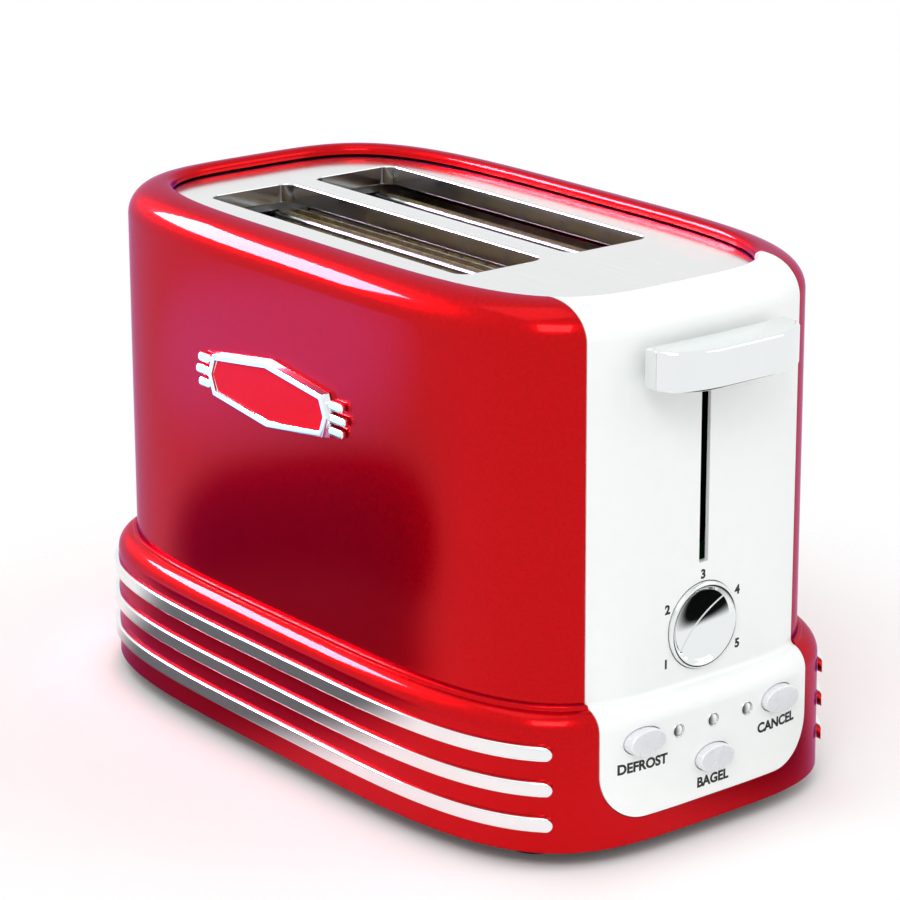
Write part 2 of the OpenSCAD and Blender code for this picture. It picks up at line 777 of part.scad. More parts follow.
// The lever's handle is a bar with a bowed back and round front corners, where share 1 is an end
handle_steps = 12;
bow_power = 3;
corner_power = 2;
back_share = 1 - 2 * handle_cut / handle_w;
flat_share = handle_flat / handle_w;
side_y = handle_back + handle_gap - handle_end_gap - handle_cut;
function handle_rear(share) = share < back_share
    ? handle_back + (handle_gap - handle_end_gap) * pow(share / back_share, bow_power)
    : side_y + handle_cut * (1 - share) / (1 - back_share);
function handle_front(share) =
    let (
        past = max(0, share - flat_share) / (1 - flat_share),
        corner_y = side_y - handle_side
    )
    corner_y - (corner_y - handle_back + handle_d) * pow(1 - pow(past, corner_power), 1 / corner_power);
handle_shares = concat(
    [for (i = [0:handle_steps - 1]) back_share * sin(90 * i / handle_steps)],
    [back_share, (1 + back_share) / 2, 1]
);
handle_columns = concat(
    [for (i = [len(handle_shares) - 1:-1:1]) -handle_shares[i]],
    handle_shares
);
module lever_handle() color(bright) placed()
    translate([0, 0, lever_z - handle_h / 2]) linear_extrude(handle_h) polygon(concat(
        [for (share = handle_columns) [share * handle_w / 2, handle_front(abs(share))]],
        [for (share = handle_columns) [-share * handle_w / 2, handle_rear(abs(share))]]
    ));

module lever_arm() color(steel) placed()
    block([-arm_t / 2, handle_back, lever_z - arm_h / 2], [arm_t / 2, web_front, lever_z + arm_h / 2]);

module carriage_bracket() color(steel) placed() difference() {
    top = lever_z + bracket_rise;
    reach = bread_x + spine_t;
    union() {
        block([-reach, bracket_front, rack_z], [reach, bracket_back, top]);
        block([-web_w / 2, web_front, top - bush_len], [web_w / 2, bracket_back, top]);
        round_z(0, rod_y, top - bush_len, bush_d, bush_len);
        block([spring_left, spring_y - spring_d / 2 - ear_margin, ear_z],
              [spring_right, bracket_back, ear_z + tab_t]);
    }
    round_z(0, rod_y, 0, rod_d + 2 * rod_fit, body_top);
}

magnet_y = bracket_front - magnet_w / 2;
module armature() color(dark) placed()
    block([magnet_x - magnet_w / 2, magnet_y - magnet_w / 2, rack_z],
          [magnet_x + magnet_w / 2, bracket_front, rack_z + tab_t]);

// A bread rack is a spine on edge with cross bars whose ends turn up
module bread_rack(side) color(steel) placed() translate([side * bread_x, 0, rack_z]) {
    block([-spine_t / 2, bracket_back, 0], [spine_t / 2, plate_rear + spine_tail, spine_h]);
    for (i = [0:rack_bars - 1]) translate([0, bread_y + (i - (rack_bars - 1) / 2) * rack_pitch, spine_h]) {
        block([-rack_w / 2, -rack_bar / 2, -rack_bar], [rack_w / 2, rack_bar / 2, weld]);
        for (end = [-1, 1]) translate([end * (rack_w - rack_bar / 2) / 2, 0, rack_bar / 2])
            cube([rack_bar / 2, rack_bar, rack_bar], center = true);
    }
}
module bread_rack_left() bread_rack(-1);
module bread_rack_right() bread_rack(1);

// The knob is a dish set into the panel, with a ridge across it that points to a number
knob_back = -body_b(knob_z) - knob_stand + knob_t;
module browning_knob() color(bright) placed() translate([0, knob_back, knob_z]) rotate([90, 0, 0]) {
    difference() {
        cylinder(d = knob_d, h = knob_t);
        translate([0, 0, knob_t - knob_dish])
            cylinder(d1 = knob_d - 4 * knob_rim, d2 = knob_d - 2 * knob_rim, h = knob_dish);
    }
    rotate([0, 0, -pointer_angle]) translate([0, knob_d / 2 - 2 * knob_rim, knob_t - knob_dish])
        rotate([90, 0, 0]) linear_extrude(knob_d - 4 * knob_rim)
            polygon([[-ridge_w / 2, -weld], [ridge_w / 2, -weld], [0, ridge_h]]);
}

shaft_end = board_face - control_d + shaft_grip;
module knob_shaft() color(steel) placed()
    round_y(0, knob_back, knob_z, shaft_d, shaft_end - knob_back);

// A push button has an oval cap, a flange behind the panel and a stem that meets its switch
module push_button(at) color(white) placed() {
    face = -plan_y(base_at(at[1]), at[0]) - button_stand;
    shelf = button_shelf(at);
    stem_start = shelf + button_flange_t - weld;
    stem_end = switch_face - button_travel - pass_gap;
    from_front(shelf + weld, shelf - face + weld) translate(at) ellipse(button_w, button_h);
    from_front(shelf + button_flange_t, button_flange_t) translate(at)
        ellipse(button_w + flange_grow, button_h + flange_grow);
    round_y(at[0], stem_start, at[1], stem_d, stem_end - stem_start);
}
module defrost_button() push_button(defrost_at);
module bagel_button() push_button(bagel_at);
module cancel_button() push_button(cancel_at);

module lens(i) color("#dfe8e6") placed()
    round_y(lens_at[i][0], -plan_y(base_at(row_z), lens_at[i][0]) - lens_stand, row_z, lens_d, lens_len);
module lens_left() lens(0);
module lens_middle() lens(1);
module lens_right() lens(2);

foot_at = [
    for (y = [-1, 1], x = [-1, 1])
        [x * (base_w / 2 - foot_inset_x), y * (base_len / 2 - foot_inset_y), 0]
];
module foot(i) color(dark) placed() translate(foot_at[i]) difference() {
    cylinder(d = foot_d, h = base_bottom);
    round_z(0, 0, -base_bottom, screw_d + 2 * screw_fit, 3 * base_bottom);
    round_z(0, 0, -base_bottom, head_d + 2 * screw_fit, foot_recess + base_bottom);
}
module foot_front_left() foot(0);
module foot_front_right() foot(1);
module foot_rear_left() foot(2);
module foot_rear_right() foot(3);

module foot_screws() color(steel) placed() for (at = foot_at) translate(at) {
    round_z(0, 0, foot_recess - head_h, head_d, head_h);
    round_z(0, 0, foot_recess - weld, screw_d, floor_z - foot_recess + weld);
}

module bottom_plate() color(dark) placed() difference() {
    edge = base_wall + bottom_fit;
    translate([0, 0, base_bottom]) linear_extrude(bottom_t)
        polygon(plan_outline(base_a(floor_z) - edge, base_b(floor_z) - edge));
    for (at = foot_at) translate(at) round_z(0, 0, 0, screw_d + 2 * screw_fit, 2 * floor_z);
    block([-notch_x - bottom_fit, tray_rear - bottom_fit, 0], [notch_x + bottom_fit, base_len, 2 * floor_z]);
}

module tray_rail(side) color(steel) placed() translate([side * (tray_x + tray_fit + tray_rail / 2), 0, floor_z])
    block([-tray_rail / 2, tray_front, 0], [tray_rail / 2, tray_rear - rail_stop, tray_h]);
module tray_rail_left() tray_rail(-1);
module tray_rail_right() tray_rail(1);

module crumb_tray() color(steel) placed() difference() {
    block([-tray_x, tray_front, tray_z], [tray_x, tray_rear, tray_top]);
    block([tray_t - tray_x, tray_front + tray_t, tray_z + tray_t], [tray_x - tray_t, tray_rear - tray_t, 2 * tray_top]);
}

// The tray's pull closes the notch in the skirt and follows its curve
pull_low = base_bottom + tray_fit;
pull_points = 16;
module tray_pull() color(dark) placed() difference() {
    translate([0, 0, pull_low]) linear_extrude(tray_top - pull_low) polygon(concat(
        [[-pull_x, tray_rear], [pull_x, tray_rear]],
        [for (i = [pull_points:-1:-pull_points])
            let (x = pull_x * i / pull_points) [x, plan_y(base_at(tray_top), x)]]
    ));
    round_y(0, tray_rear + pull_end, pull_low + scoop_h - scoop_r, 2 * scoop_r, base_len);
}

module cord_gland() color(dark) placed() difference() {
    seat = body_b(gland_z - gland_flange / 2) + gland_fit;
    union() {
        round_y(0, seat, gland_z, gland_flange, flange_t);
        round_y(0, seat - gland_len, gland_z, gland_d, gland_len + flange_t / 2);
    }
    round_y(0, 0, gland_z, cord_hole, body_len);
}

// Slots that both chassis plates share: one for each guard rail, one for each rack
module chassis_slots() {
    height = rail_d + 2 * rail_fit;
    length = guard_travel + rail_d + 2 * rail_fit;
    for (side = [-1, 1], wall = [-1, 1], z = [guard_z, guard_top])
        translate([side * (bread_x + wall * (guard_open - guard_travel / 2)), z])
            square([length, height], center = true);
    for (side = [-1, 1])
        translate([side * bread_x - spine_t / 2 - spine_fit, rack_down - spine_fit])
            square([spine_t + 2 * spine_fit, lever_travel + spine_h + 2 * spine_fit]);
}

// A tab bent forward from the front plate, from x to the far side of the bush, holds an end of the rod
module rod_tab(x, z) {
    margin = bush_d / 2 + tab_margin;
    difference() {
        block([x, rod_y - margin, z], [margin, oven_front - sheet / 2, z + tab_t]);
        round_z(0, rod_y, 0, rod_d + 2 * rod_fit, body_top);
    }
}

module front_chassis_plate() color(steel) placed() {
    from_front(oven_front, sheet) difference() {
        translate([-chassis_x, floor_z]) square([2 * chassis_x, plate_low - floor_z]);
        chassis_slots();
    }
    rod_tab(-bush_d / 2 - tab_margin, lower_tab_z);
    rod_tab(spring_left, upper_tab_z);
}

module rear_chassis_plate() color(steel) placed() from_front(plate_rear, sheet) difference() {
    translate([-chassis_x, floor_z]) square([2 * chassis_x, plate_low - floor_z]);
    chassis_slots();
    tunnel = tray_x + tray_fit + tray_rail + tray_fit;
    translate([-tunnel, 0]) square([2 * tunnel, tray_top + 2 * tray_fit]);
}

module reflector(side) color(bright) placed() translate([side * (reflector_x + sheet / 2), 0, 0])
    block([-sheet / 2, oven_front, mica_z - reflector_skirt], [sheet / 2, oven_rear, mica_top]);
module reflector_left() reflector(-1);
module reflector_right() reflector(1);

// A heater board beside a slot: wall -1 is on the middle's side and wall 1 on the outside
module heater_board(side, wall) color("#d8c9a4") placed()
    translate([side * (bread_x + wall * (mica_face + mica_t / 2)), 0, 0])
        block([-mica_t / 2, oven_front, mica_z], [mica_t / 2, oven_rear, mica_top]);
module heater_board_left_outer() heater_board(-1, 1);
module heater_board_left_inner() heater_board(-1, -1);
module heater_board_right_inner() heater_board(1, -1);
module heater_board_right_outer() heater_board(1, 1);

// One ribbon runs to and fro up the board's face on the side of the bread
ribbon_pitch = (mica_top - mica_z - 2 * ribbon_inset) / (ribbon_runs - 1);
module heater_ribbon(side, wall) color("#8a8178") placed()
    translate([side * (bread_x + wall * (mica_face - ribbon_t / 2)), 0, mica_z + ribbon_inset]) {
        front = oven_front + ribbon_inset;
        rear = oven_rear - ribbon_inset;
        for (i = [0:ribbon_runs - 1]) translate([0, 0, i * ribbon_pitch])
            block([-ribbon_t / 2, front, -ribbon_h / 2], [ribbon_t / 2, rear, ribbon_h / 2]);
        for (i = [0:ribbon_runs - 2]) translate([0, i % 2 == 0 ? rear - ribbon_h : front, i * ribbon_pitch])
            block([-ribbon_t / 2, 0, 0], [ribbon_t / 2, ribbon_h, ribbon_pitch]);
    }
module heater_ribbon_left_outer() heater_ribbon(-1, 1);
module heater_ribbon_left_inner() heater_ribbon(-1, -1);
module heater_ribbon_right_inner() heater_ribbon(1, -1);
module heater_ribbon_right_outer() heater_ribbon(1, 1);

// A guard is a row of upright wires between two rails that run in the chassis plates
module bread_guard(side, wall) color(steel) placed()
    translate([side * (bread_x + wall * guard_open), 0, 0]) {
        for (z = [guard_z, guard_top])
            round_y(0, plate_front - rail_through, z, rail_d, plate_rear - plate_front + 2 * rail_through);
        for (i = [0:wires - 1])
            round_z(0, bread_y + (i - (wires - 1) / 2) * wire_pitch, guard_z, wire_d, guard_top - guard_z);
    }
module bread_guard_left_outer() bread_guard(-1, 1);
module bread_guard_left_inner() bread_guard(-1, -1);
module bread_guard_right_inner() bread_guard(1, -1);
module bread_guard_right_outer() bread_guard(1, 1);

module guide_rod() color(bright) placed()
    round_z(0, rod_y, lower_tab_z - rod_end, rod_d, upper_tab_z - lower_tab_z + tab_t + 2 * rod_end);

// The lift spring is one coiled wire between the carriage's ear and the upper tab
spring_low = ear_z + tab_t + pass_gap + spring_wire / 2;
spring_high = upper_tab_z - pass_gap - spring_wire / 2;
spring_pitch = (spring_high - spring_low) / spring_turns;
turn_rings = 8;
module lift_spring() color(steel) placed() {
    coil_r = (spring_d - spring_wire) / 2;
    translate([-spring_x, spring_y, spring_low]) skin([
        for (i = [0:spring_turns * turn_rings])
            let (t = 360 * i / turn_rings, z = spring_pitch * i / turn_rings)
            [for (a = [0:60:300])
                let (r = coil_r + spring_wire / 2 * cos(a))
                [r * cos(t), r * sin(t), z + spring_wire / 2 * sin(a)]]
    ]);
}
echo(least_gap_between_spring_turns = spring_pitch - spring_wire);

module magnet_core() color(steel) placed() translate([magnet_x, magnet_y, floor_z]) {
    block([-magnet_w / 2, -magnet_w / 2, 0], [magnet_w / 2, magnet_w / 2, magnet_foot]);
    block([-post_w / 2, -post_w / 2, magnet_foot - weld], [post_w / 2, post_w / 2, rack_low - magnet_gap]);
}
module magnet_coil() color("#a4642f") placed() translate([magnet_x, magnet_y, floor_z + magnet_foot])
    linear_extrude(rack_low - magnet_foot - coil_short) difference() {
        square(magnet_w - 2 * coil_inset, center = true);
        square(post_w + 2 * coil_fit, center = true);
    }

module control_board() color("#2f6b3f") placed()
    block([-board_w / 2, board_face, floor_z + board_low], [board_w / 2, board_back, board_top]);

module board_bracket() color(steel) placed() {
    block([-bracket_w / 2, board_back, floor_z], [bracket_w / 2, board_back + sheet, floor_z + bracket_h]);
    block([-bracket_w / 2, board_back, floor_z], [bracket_w / 2, board_back + bracket_foot, floor_z + sheet]);
}

module browning_control() color(dark) placed() difference() {
    union() {
        block([-control_w / 2, board_face - control_d, knob_z - control_w / 2],
              [control_w / 2, board_face, knob_z + control_w / 2]);
        round_y(0, board_face - control_d - nose_len, knob_z, shaft_d + 2 * nose_wall, nose_len + weld);
    }
    round_y(0, -body_len, knob_z, shaft_d + 2 * shaft_fit, body_len + shaft_end + pass_gap);
}

module button_switches() color(dark) placed()
    for (at = [defrost_at, bagel_at, cancel_at])
        block([at[0] - switch_w / 2, switch_face, at[1] - switch_w / 2],
              [at[0] + switch_w / 2, board_face, at[1] + switch_w / 2]);

module indicator_leds() color("#e8e2c8") placed()
    for (at = lens_at) round_y(at[0], board_face - led_d, at[1], led_d, led_d);

body_shell();
rear_panel();
base_skirt();
front_panel();
top_plate();
trim_band_lower();
trim_band_middle();
trim_band_upper();
badge_frame();
badge_plate();
lever_handle();
lever_arm();
carriage_bracket();
armature();
bread_rack_left();
bread_rack_right();
browning_knob();
knob_shaft();
defrost_button();
bagel_button();
cancel_button();
lens_left();
lens_middle();
lens_right();
foot_front_left();
foot_front_right();
foot_rear_left();
foot_rear_right();
foot_screws();
bottom_plate();
tray_rail_left();
tray_rail_right();
crumb_tray();
tray_pull();
cord_gland();
front_chassis_plate();
rear_chassis_plate();
reflector_left();
reflector_right();
heater_board_left_outer();
heater_board_left_inner();
heater_board_right_inner();
heater_board_right_outer();
heater_ribbon_left_outer();
heater_ribbon_left_inner();
heater_ribbon_right_inner();
heater_ribbon_right_outer();
bread_guard_left_outer();
bread_guard_left_inner();
bread_guard_right_inner();
bread_guard_right_outer();
guide_rod();
lift_spring();
magnet_core();
magnet_coil();
control_board();
board_bracket();
browning_control();
button_switches();
indicator_leds();
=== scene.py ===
"""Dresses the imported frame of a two-slice toaster and sets it in a plain studio.

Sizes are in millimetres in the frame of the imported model, and become metres where a mesh is made.
"""

import json
import logging
import math
from collections.abc import Iterator, Sequence
from contextlib import contextmanager
from dataclasses import dataclass, replace
from enum import Enum

import bmesh
import bpy
from mathutils import Matrix, Vector

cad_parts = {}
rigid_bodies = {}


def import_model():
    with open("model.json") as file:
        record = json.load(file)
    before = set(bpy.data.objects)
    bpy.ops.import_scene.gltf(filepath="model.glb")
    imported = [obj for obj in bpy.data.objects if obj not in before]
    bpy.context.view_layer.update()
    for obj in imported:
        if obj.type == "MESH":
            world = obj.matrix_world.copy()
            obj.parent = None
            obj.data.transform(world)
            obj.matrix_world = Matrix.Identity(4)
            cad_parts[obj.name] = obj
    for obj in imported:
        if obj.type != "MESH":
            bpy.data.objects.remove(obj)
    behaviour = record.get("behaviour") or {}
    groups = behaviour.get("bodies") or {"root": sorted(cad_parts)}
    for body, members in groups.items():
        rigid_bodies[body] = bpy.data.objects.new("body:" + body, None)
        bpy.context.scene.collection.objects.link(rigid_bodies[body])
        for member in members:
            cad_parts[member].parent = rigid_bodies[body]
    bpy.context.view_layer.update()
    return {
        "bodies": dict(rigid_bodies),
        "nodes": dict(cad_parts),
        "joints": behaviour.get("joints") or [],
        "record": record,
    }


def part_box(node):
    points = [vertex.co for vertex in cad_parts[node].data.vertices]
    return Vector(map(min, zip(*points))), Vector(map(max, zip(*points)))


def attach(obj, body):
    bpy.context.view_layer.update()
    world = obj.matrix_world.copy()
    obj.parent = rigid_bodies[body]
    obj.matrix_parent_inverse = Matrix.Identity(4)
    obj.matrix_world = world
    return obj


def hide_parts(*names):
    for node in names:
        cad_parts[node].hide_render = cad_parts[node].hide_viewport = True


LOG = logging.getLogger("toaster")
MM = 0.001
# Distances from the middle between which a cutter goes through one wall.
INSIDE = 60.0
OUTSIDE = 278.0
# Edges that turn by more than this many degrees are sharp.
SHARP = 34.0

Point = tuple[float, float]
Point3 = tuple[float, float, float]
Piece = bpy.types.Object
Tree = bpy.types.NodeTree
Node = bpy.types.Node
Socket = bpy.types.NodeSocket


# Mesh tools


class Axis(Enum):
    """The way a piece is drawn out, as the world axes of its two cross sizes and its length."""

    UP = ((1, 0, 0), (0, 1, 0), (0, 0, 1))
    FRONT = ((1, 0, 0), (0, 0, 1), (0, -1, 0))
    REAR = ((-1, 0, 0), (0, 0, 1), (0, 1, 0))
    LEFT = ((0, -1, 0), (0, 0, 1), (-1, 0, 0))

    def place(self, u: float, v: float, w: float) -> Vector:
        """Gives the world point of two cross offsets and a length, in the same unit."""
        return Vector(self.value[0]) * u + Vector(self.value[1]) * v + Vector(self.value[2]) * w

    def stretch(self, u: float, v: float) -> Point3:
        """Gives the world scale that stretches the two cross sizes.

        Args:
            u: Factor on the first cross size.
            v: Factor on the second cross size.

        Returns:
            A factor for each world axis.
        """
        factors = [1.0, 1.0, 1.0]
        for factor, direction in ((u, self.value[0]), (v, self.value[1])):
            factors[[abs(part) for part in direction].index(1)] = factor
        return tuple(factors)


class Ends(Enum):
    """How the ends of a drawn-out piece are closed."""

    CAPPED = "each end gets a flat face"
    LOOPED = "the last ring is joined to the first"


class Cut(Enum):
    """What a cutter does to a piece."""

    AWAY = "DIFFERENCE"
    KEEP = "INTERSECT"
    ADD = "UNION"


@dataclass(frozen=True)
class Ring:
    """One ring of a drawn-out piece: its two half sizes and its place along the axis."""

    a: float
    b: float
    w: float


def deselect() -> None:
    """Deselects every object."""
    bpy.ops.object.select_all(action="DESELECT")


def select_only(piece: Piece) -> None:
    """Selects one object and makes it active.

    Args:
        piece: The object.
    """
    deselect()
    piece.select_set(True)
    bpy.context.view_layer.objects.active = piece


@contextmanager
def editing(piece: Piece, element: str = "VERT") -> Iterator[None]:
    """Opens a piece in edit mode with all of it selected.

    Args:
        piece: The mesh object.
        element: What is selected, VERT, EDGE or FACE.

    Returns:
        A context that goes back to object mode at its end.
    """
    select_only(piece)
    bpy.ops.object.mode_set(mode="EDIT")
    bpy.ops.mesh.select_mode(type=element)
    bpy.ops.mesh.select_all(action="SELECT")
    yield
    bpy.ops.object.mode_set(mode="OBJECT")


def modify(piece: Piece, kind: str, **settings: object) -> None:
    """Adds a modifier to a piece and applies it.

    Args:
        piece: The mesh object.
        kind: Blender's name of the modifier type.
        settings: Values for the modifier.
    """
    select_only(piece)
    modifier = piece.modifiers.new(kind.lower(), kind)
    for name, value in settings.items():
        setattr(modifier, name, value)
    bpy.ops.object.modifier_apply(modifier=modifier.name)


def cut(piece: Piece, cutter: Piece, how: Cut = Cut.AWAY) -> None:
    """Cuts a piece with a closed mesh in one of three ways, and deletes the cutter."""
    modify(piece, "BOOLEAN", object=cutter, operation=how.value, solver="EXACT")
    bpy.data.objects.remove(cutter)


def soften(piece: Piece, width: float, segments: int = 3, angle: float = SHARP) -> None:
    """Rounds the sharp edges of a piece and smooths the rest.

    Args:
        piece: The mesh object.
        width: Width of the rounding in millimetres.
        segments: Steps of the rounding.
        angle: Edges that turn by more than this many degrees are rounded.
    """
    modify(piece, "BEVEL", width=width * MM, segments=segments, limit_method="ANGLE",
           angle_limit=math.radians(angle), miter_outer="MITER_ARC")
    smooth(piece, angle)


def smooth(piece: Piece, angle: float = SHARP) -> None:
    """Smooths a piece except at its sharp edges.

    Args:
        piece: The mesh object.
        angle: Edges that turn by more than this many degrees stay sharp.
    """
    select_only(piece)
    bpy.ops.object.shade_smooth_by_angle(angle=math.radians(angle))
    modify(piece, "WEIGHTED_NORMAL", keep_sharp=True)


def join(pieces: Sequence[Piece]) -> Piece:
    """Joins pieces into the first of them.

    Args:
        pieces: Mesh objects.

    Returns:
        The joined object.
    """
    select_only(pieces[0])
    for piece in pieces[1:]:
        piece.select_set(True)
    bpy.ops.object.join()
    return pieces[0]


def loft(name: str, shape: Sequence[Point], rings: Sequence[Ring], axis: Axis = Axis.UP,
         centre: Vector = Vector(), ends: Ends = Ends.CAPPED) -> Piece:
    """Draws an outline out along an axis through rings of changing size.

    Args:
        name: Name of the piece.
        shape: Outline points, scaled by each ring's half sizes.
        rings: Rings from the first to the last.
        axis: Direction of the length.
        centre: Point that the outline and the lengths are measured from, in millimetres.
        ends: How the ends are closed.

    Returns:
        A closed mesh object with its place in its mesh.
    """
    deselect()
    bpy.ops.mesh.primitive_circle_add(vertices=len(shape), radius=1)
    piece = bpy.context.object
    piece.name = name
    first = rings[0]
    for vertex, (u, v) in zip(piece.data.vertices, shape):
        vertex.co = (centre + axis.place(u * first.a, v * first.b, first.w)) * MM
    with editing(piece):
        for last, here in zip(rings, rings[1:]):
            step = axis.place(0, 0, here.w - last.w) * MM
            bpy.ops.mesh.extrude_region_move(TRANSFORM_OT_translate={"value": step})
            if (last.a, last.b) != (here.a, here.b):
                bpy.ops.transform.resize(value=axis.stretch(here.a / last.a, here.b / last.b),
                                         center_override=centre * MM)
        bpy.ops.mesh.select_all(action="SELECT")
        if ends is Ends.CAPPED:
            bpy.ops.mesh.fill_holes(sides=0)
        else:
            bpy.ops.mesh.select_all(action="DESELECT")
            bpy.ops.mesh.select_non_manifold()
            bpy.ops.mesh.bridge_edge_loops()
        bpy.ops.mesh.select_all(action="SELECT")
        bpy.ops.mesh.normals_make_consistent(inside=False)
    return piece


def circle(steps: int) -> list[Point]:
    """Gives the points of a circle of radius one."""
    return [(math.cos(math.tau * i / steps), math.sin(math.tau * i / steps)) for i in range(steps)]


def oval(middle: Point, half: Point, steps: int) -> list[Point]:
    """Gives the points of an oval from its middle and its two half sizes."""
    return [(middle[0] + half[0] * u, middle[1] + half[1] * v) for u, v in circle(steps)]


def rectangle(low: Point, high: Point) -> list[Point]:
    """Gives the corners of a rectangle, anticlockwise from the lower left."""
    return [low, (high[0], low[1]), high, (low[0], high[1])]


def arc(centre: Point, radius: float, start: float, end: float, steps: int) -> list[Point]:
    """Gives points along an arc between two angles in degrees, with both ends."""
    turns = [math.radians(start + (end - start) * i / steps) for i in range(steps + 1)]
    return [(centre[0] + radius * math.cos(t), centre[1] + radius * math.sin(t)) for t in turns]


def rounded_box(low: Point, high: Point, radius: float, steps: int = 8) -> list[Point]:
    """Gives the outline of a rectangle with rounded corners.

    Args:
        low: Lower left corner.
        high: Upper right corner.
        radius: Corner radius.
        steps: Steps round each corner.

    Returns:
        Points all round, anticlockwise.
    """
    corners = ((high[0] - radius, high[1] - radius, 0), (low[0] + radius, high[1] - radius, 90),
               (low[0] + radius, low[1] + radius, 180), (high[0] - radius, low[1] + radius, 270))
    return [p for x, y, turn in corners for p in arc((x, y), radius, turn, turn + 90, steps)]


def prism(name: str, outline: Sequence[Point], start: float, end: float, axis: Axis,
          centre: Vector = Vector()) -> Piece:
    """Draws an outline in millimetres straight out along an axis, from a start to an end."""
    return loft(name, outline, [Ring(1, 1, start), Ring(1, 1, end)], axis, centre)


def lathe(name: str, path: Sequence[Point], steps: int, axis: Axis, centre: Vector,
          ends: Ends = Ends.CAPPED) -> Piece:
    """Turns a path of radius and place along an axis into a round piece."""
    return loft(name, circle(steps), [Ring(r, r, w) for r, w in path], axis, centre, ends)


def punch(piece: Piece, outline: Sequence[Point], axis: Axis, how: Cut = Cut.AWAY) -> None:
    """Cuts through the wall at one end of a piece with an outline seen from there."""
    cut(piece, prism("punch", outline, INSIDE, OUTSIDE, axis), how)


# Finishes


def linear(colour: str) -> tuple[float, float, float, float]:
    """Turns an sRGB hex colour into linear red, green, blue and alpha."""
    parts = [int(colour[i:i + 2], 16) / 255 for i in (1, 3, 5)]
    return (*[p / 12.92 if p <= 0.04045 else ((p + 0.055) / 1.055) ** 2.4 for p in parts], 1.0)


def add_node(tree: Tree, kind: str, inputs: dict[str | int, object] | None = None,
             **settings: object) -> Node:
    """Adds a node with its settings and links.

    Args:
        tree: The material's node tree.
        kind: Blender's name of the node type.
        inputs: Values or sockets for the node's inputs.
        settings: Values for the node itself.

    Returns:
        The new node.
    """
    node = tree.nodes.new(kind)
    for name, value in settings.items():
        setattr(node, name, value)
    for name, value in (inputs or {}).items():
        if isinstance(value, Socket):
            tree.links.new(value, node.inputs[name])
        else:
            node.inputs[name].default_value = value
    return node


def per_mm(size: float) -> float:
    """Gives the texture scale of a pattern whose features are this many millimetres wide."""
    return 1 / (size * MM)


def soft_step(tree: Tree, value: Socket, low: float, high: float) -> Socket:
    """Gives a soft step from 0 at the first value to 1 at the second."""
    inputs = {"Value": value, "From Min": low, "From Max": high}
    return add_node(tree, "ShaderNodeMapRange", inputs, interpolation_type="SMOOTHSTEP").outputs[0]


def mix_shaders(tree: Tree, share: Socket, first: Socket, second: Socket) -> Socket:
    """Gives a mix of two shaders by the share of the second."""
    return add_node(tree, "ShaderNodeMixShader", {0: share, 1: first, 2: second}).outputs[0]


@dataclass(frozen=True)
class Finish:
    """A surface finish: two close colours mixed by a fine pattern, with gloss and grain to match."""

    name: str
    colour: str
    tint: str
    metallic: float = 0.0
    roughness: float = 0.4
    gloss_spread: float = 0.06
    ior: float = 1.5
    specular: float = 0.5
    coat: float = 0.0
    coat_roughness: float = 0.03
    pattern_mm: float = 4.0
    stretch: Point3 = (1.0, 1.0, 1.0)
    grain_mm: float = 0.8
    grain_depth_mm: float = 0.0

    def material(self) -> bpy.types.Material:
        """Makes the material of this finish, or finds it when it is there already.

        Returns:
            The material.
        """
        found = bpy.data.materials.get(self.name)
        if found:
            return found
        made = bpy.data.materials.new(self.name)
        made.use_nodes = True
        made.diffuse_color = linear(self.colour)
        tree = made.node_tree
        shader = tree.nodes["Principled BSDF"]
        shader.inputs["Metallic"].default_value = self.metallic
        if not self.metallic:
            shader.inputs["IOR"].default_value = self.ior
        shader.inputs["Specular IOR Level"].default_value = self.specular
        shader.inputs["Coat Weight"].default_value = self.coat
        shader.inputs["Coat Roughness"].default_value = self.coat_roughness
        self.paint(tree, shader)
        return made

    def paint(self, tree: Tree, shader: Node) -> None:
        """Links the colour, the gloss and the grain to the shader.

        Args:
            tree: The material's node tree.
            shader: Its principled shader.
        """
        place = self.placed(tree)
        pattern = self.pattern(tree, place)
        mix = add_node(tree, "ShaderNodeMix", {0: pattern, 6: linear(self.colour), 7: linear(self.tint)},
                       data_type="RGBA")
        tree.links.new(mix.outputs[2], shader.inputs["Base Color"])
        gloss = add_node(tree, "ShaderNodeMapRange", {
            "Value": pattern,
            "To Min": max(self.roughness - self.gloss_spread / 2, 0.0),
            "To Max": self.roughness + self.gloss_spread / 2,
        })
        tree.links.new(gloss.outputs[0], shader.inputs["Roughness"])
        if self.grain_depth_mm:
            grain = add_node(tree, "ShaderNodeTexNoise", {
                "Vector": place, "Scale": per_mm(self.grain_mm), "Detail": 2.0,
            })
            bump = add_node(tree, "ShaderNodeBump", {
                "Height": grain.outputs[0], "Distance": self.grain_depth_mm * MM, "Strength": 1.0,
            })
            tree.links.new(bump.outputs[0], shader.inputs["Normal"])

    def placed(self, tree: Tree) -> Socket:
        """Gives object coordinates, stretched for this finish."""
        place = add_node(tree, "ShaderNodeTexCoord").outputs["Object"]
        return add_node(tree, "ShaderNodeMapping", {"Vector": place, "Scale": self.stretch}).outputs[0]

    def pattern(self, tree: Tree, place: Socket) -> Socket:
        """Gives the share of the second colour over the surface, from 0 to 1."""
        inputs = {"Vector": place, "Scale": per_mm(self.pattern_mm), "Detail": 3.0}
        return add_node(tree, "ShaderNodeTexNoise", inputs).outputs[0]


@dataclass(frozen=True)
class FlakePaint(Finish):
    """A metallic paint under a clear coat, whose flakes each take the light a little differently."""

    def pattern(self, tree: Tree, place: Socket) -> Socket:
        """Gives each flake its own share of the second colour, from 0 to 1."""
        flakes = add_node(tree, "ShaderNodeTexVoronoi", {"Vector": place, "Scale": per_mm(self.pattern_mm)})
        return add_node(tree, "ShaderNodeSeparateColor", {"Color": flakes.outputs["Color"]}).outputs[0]


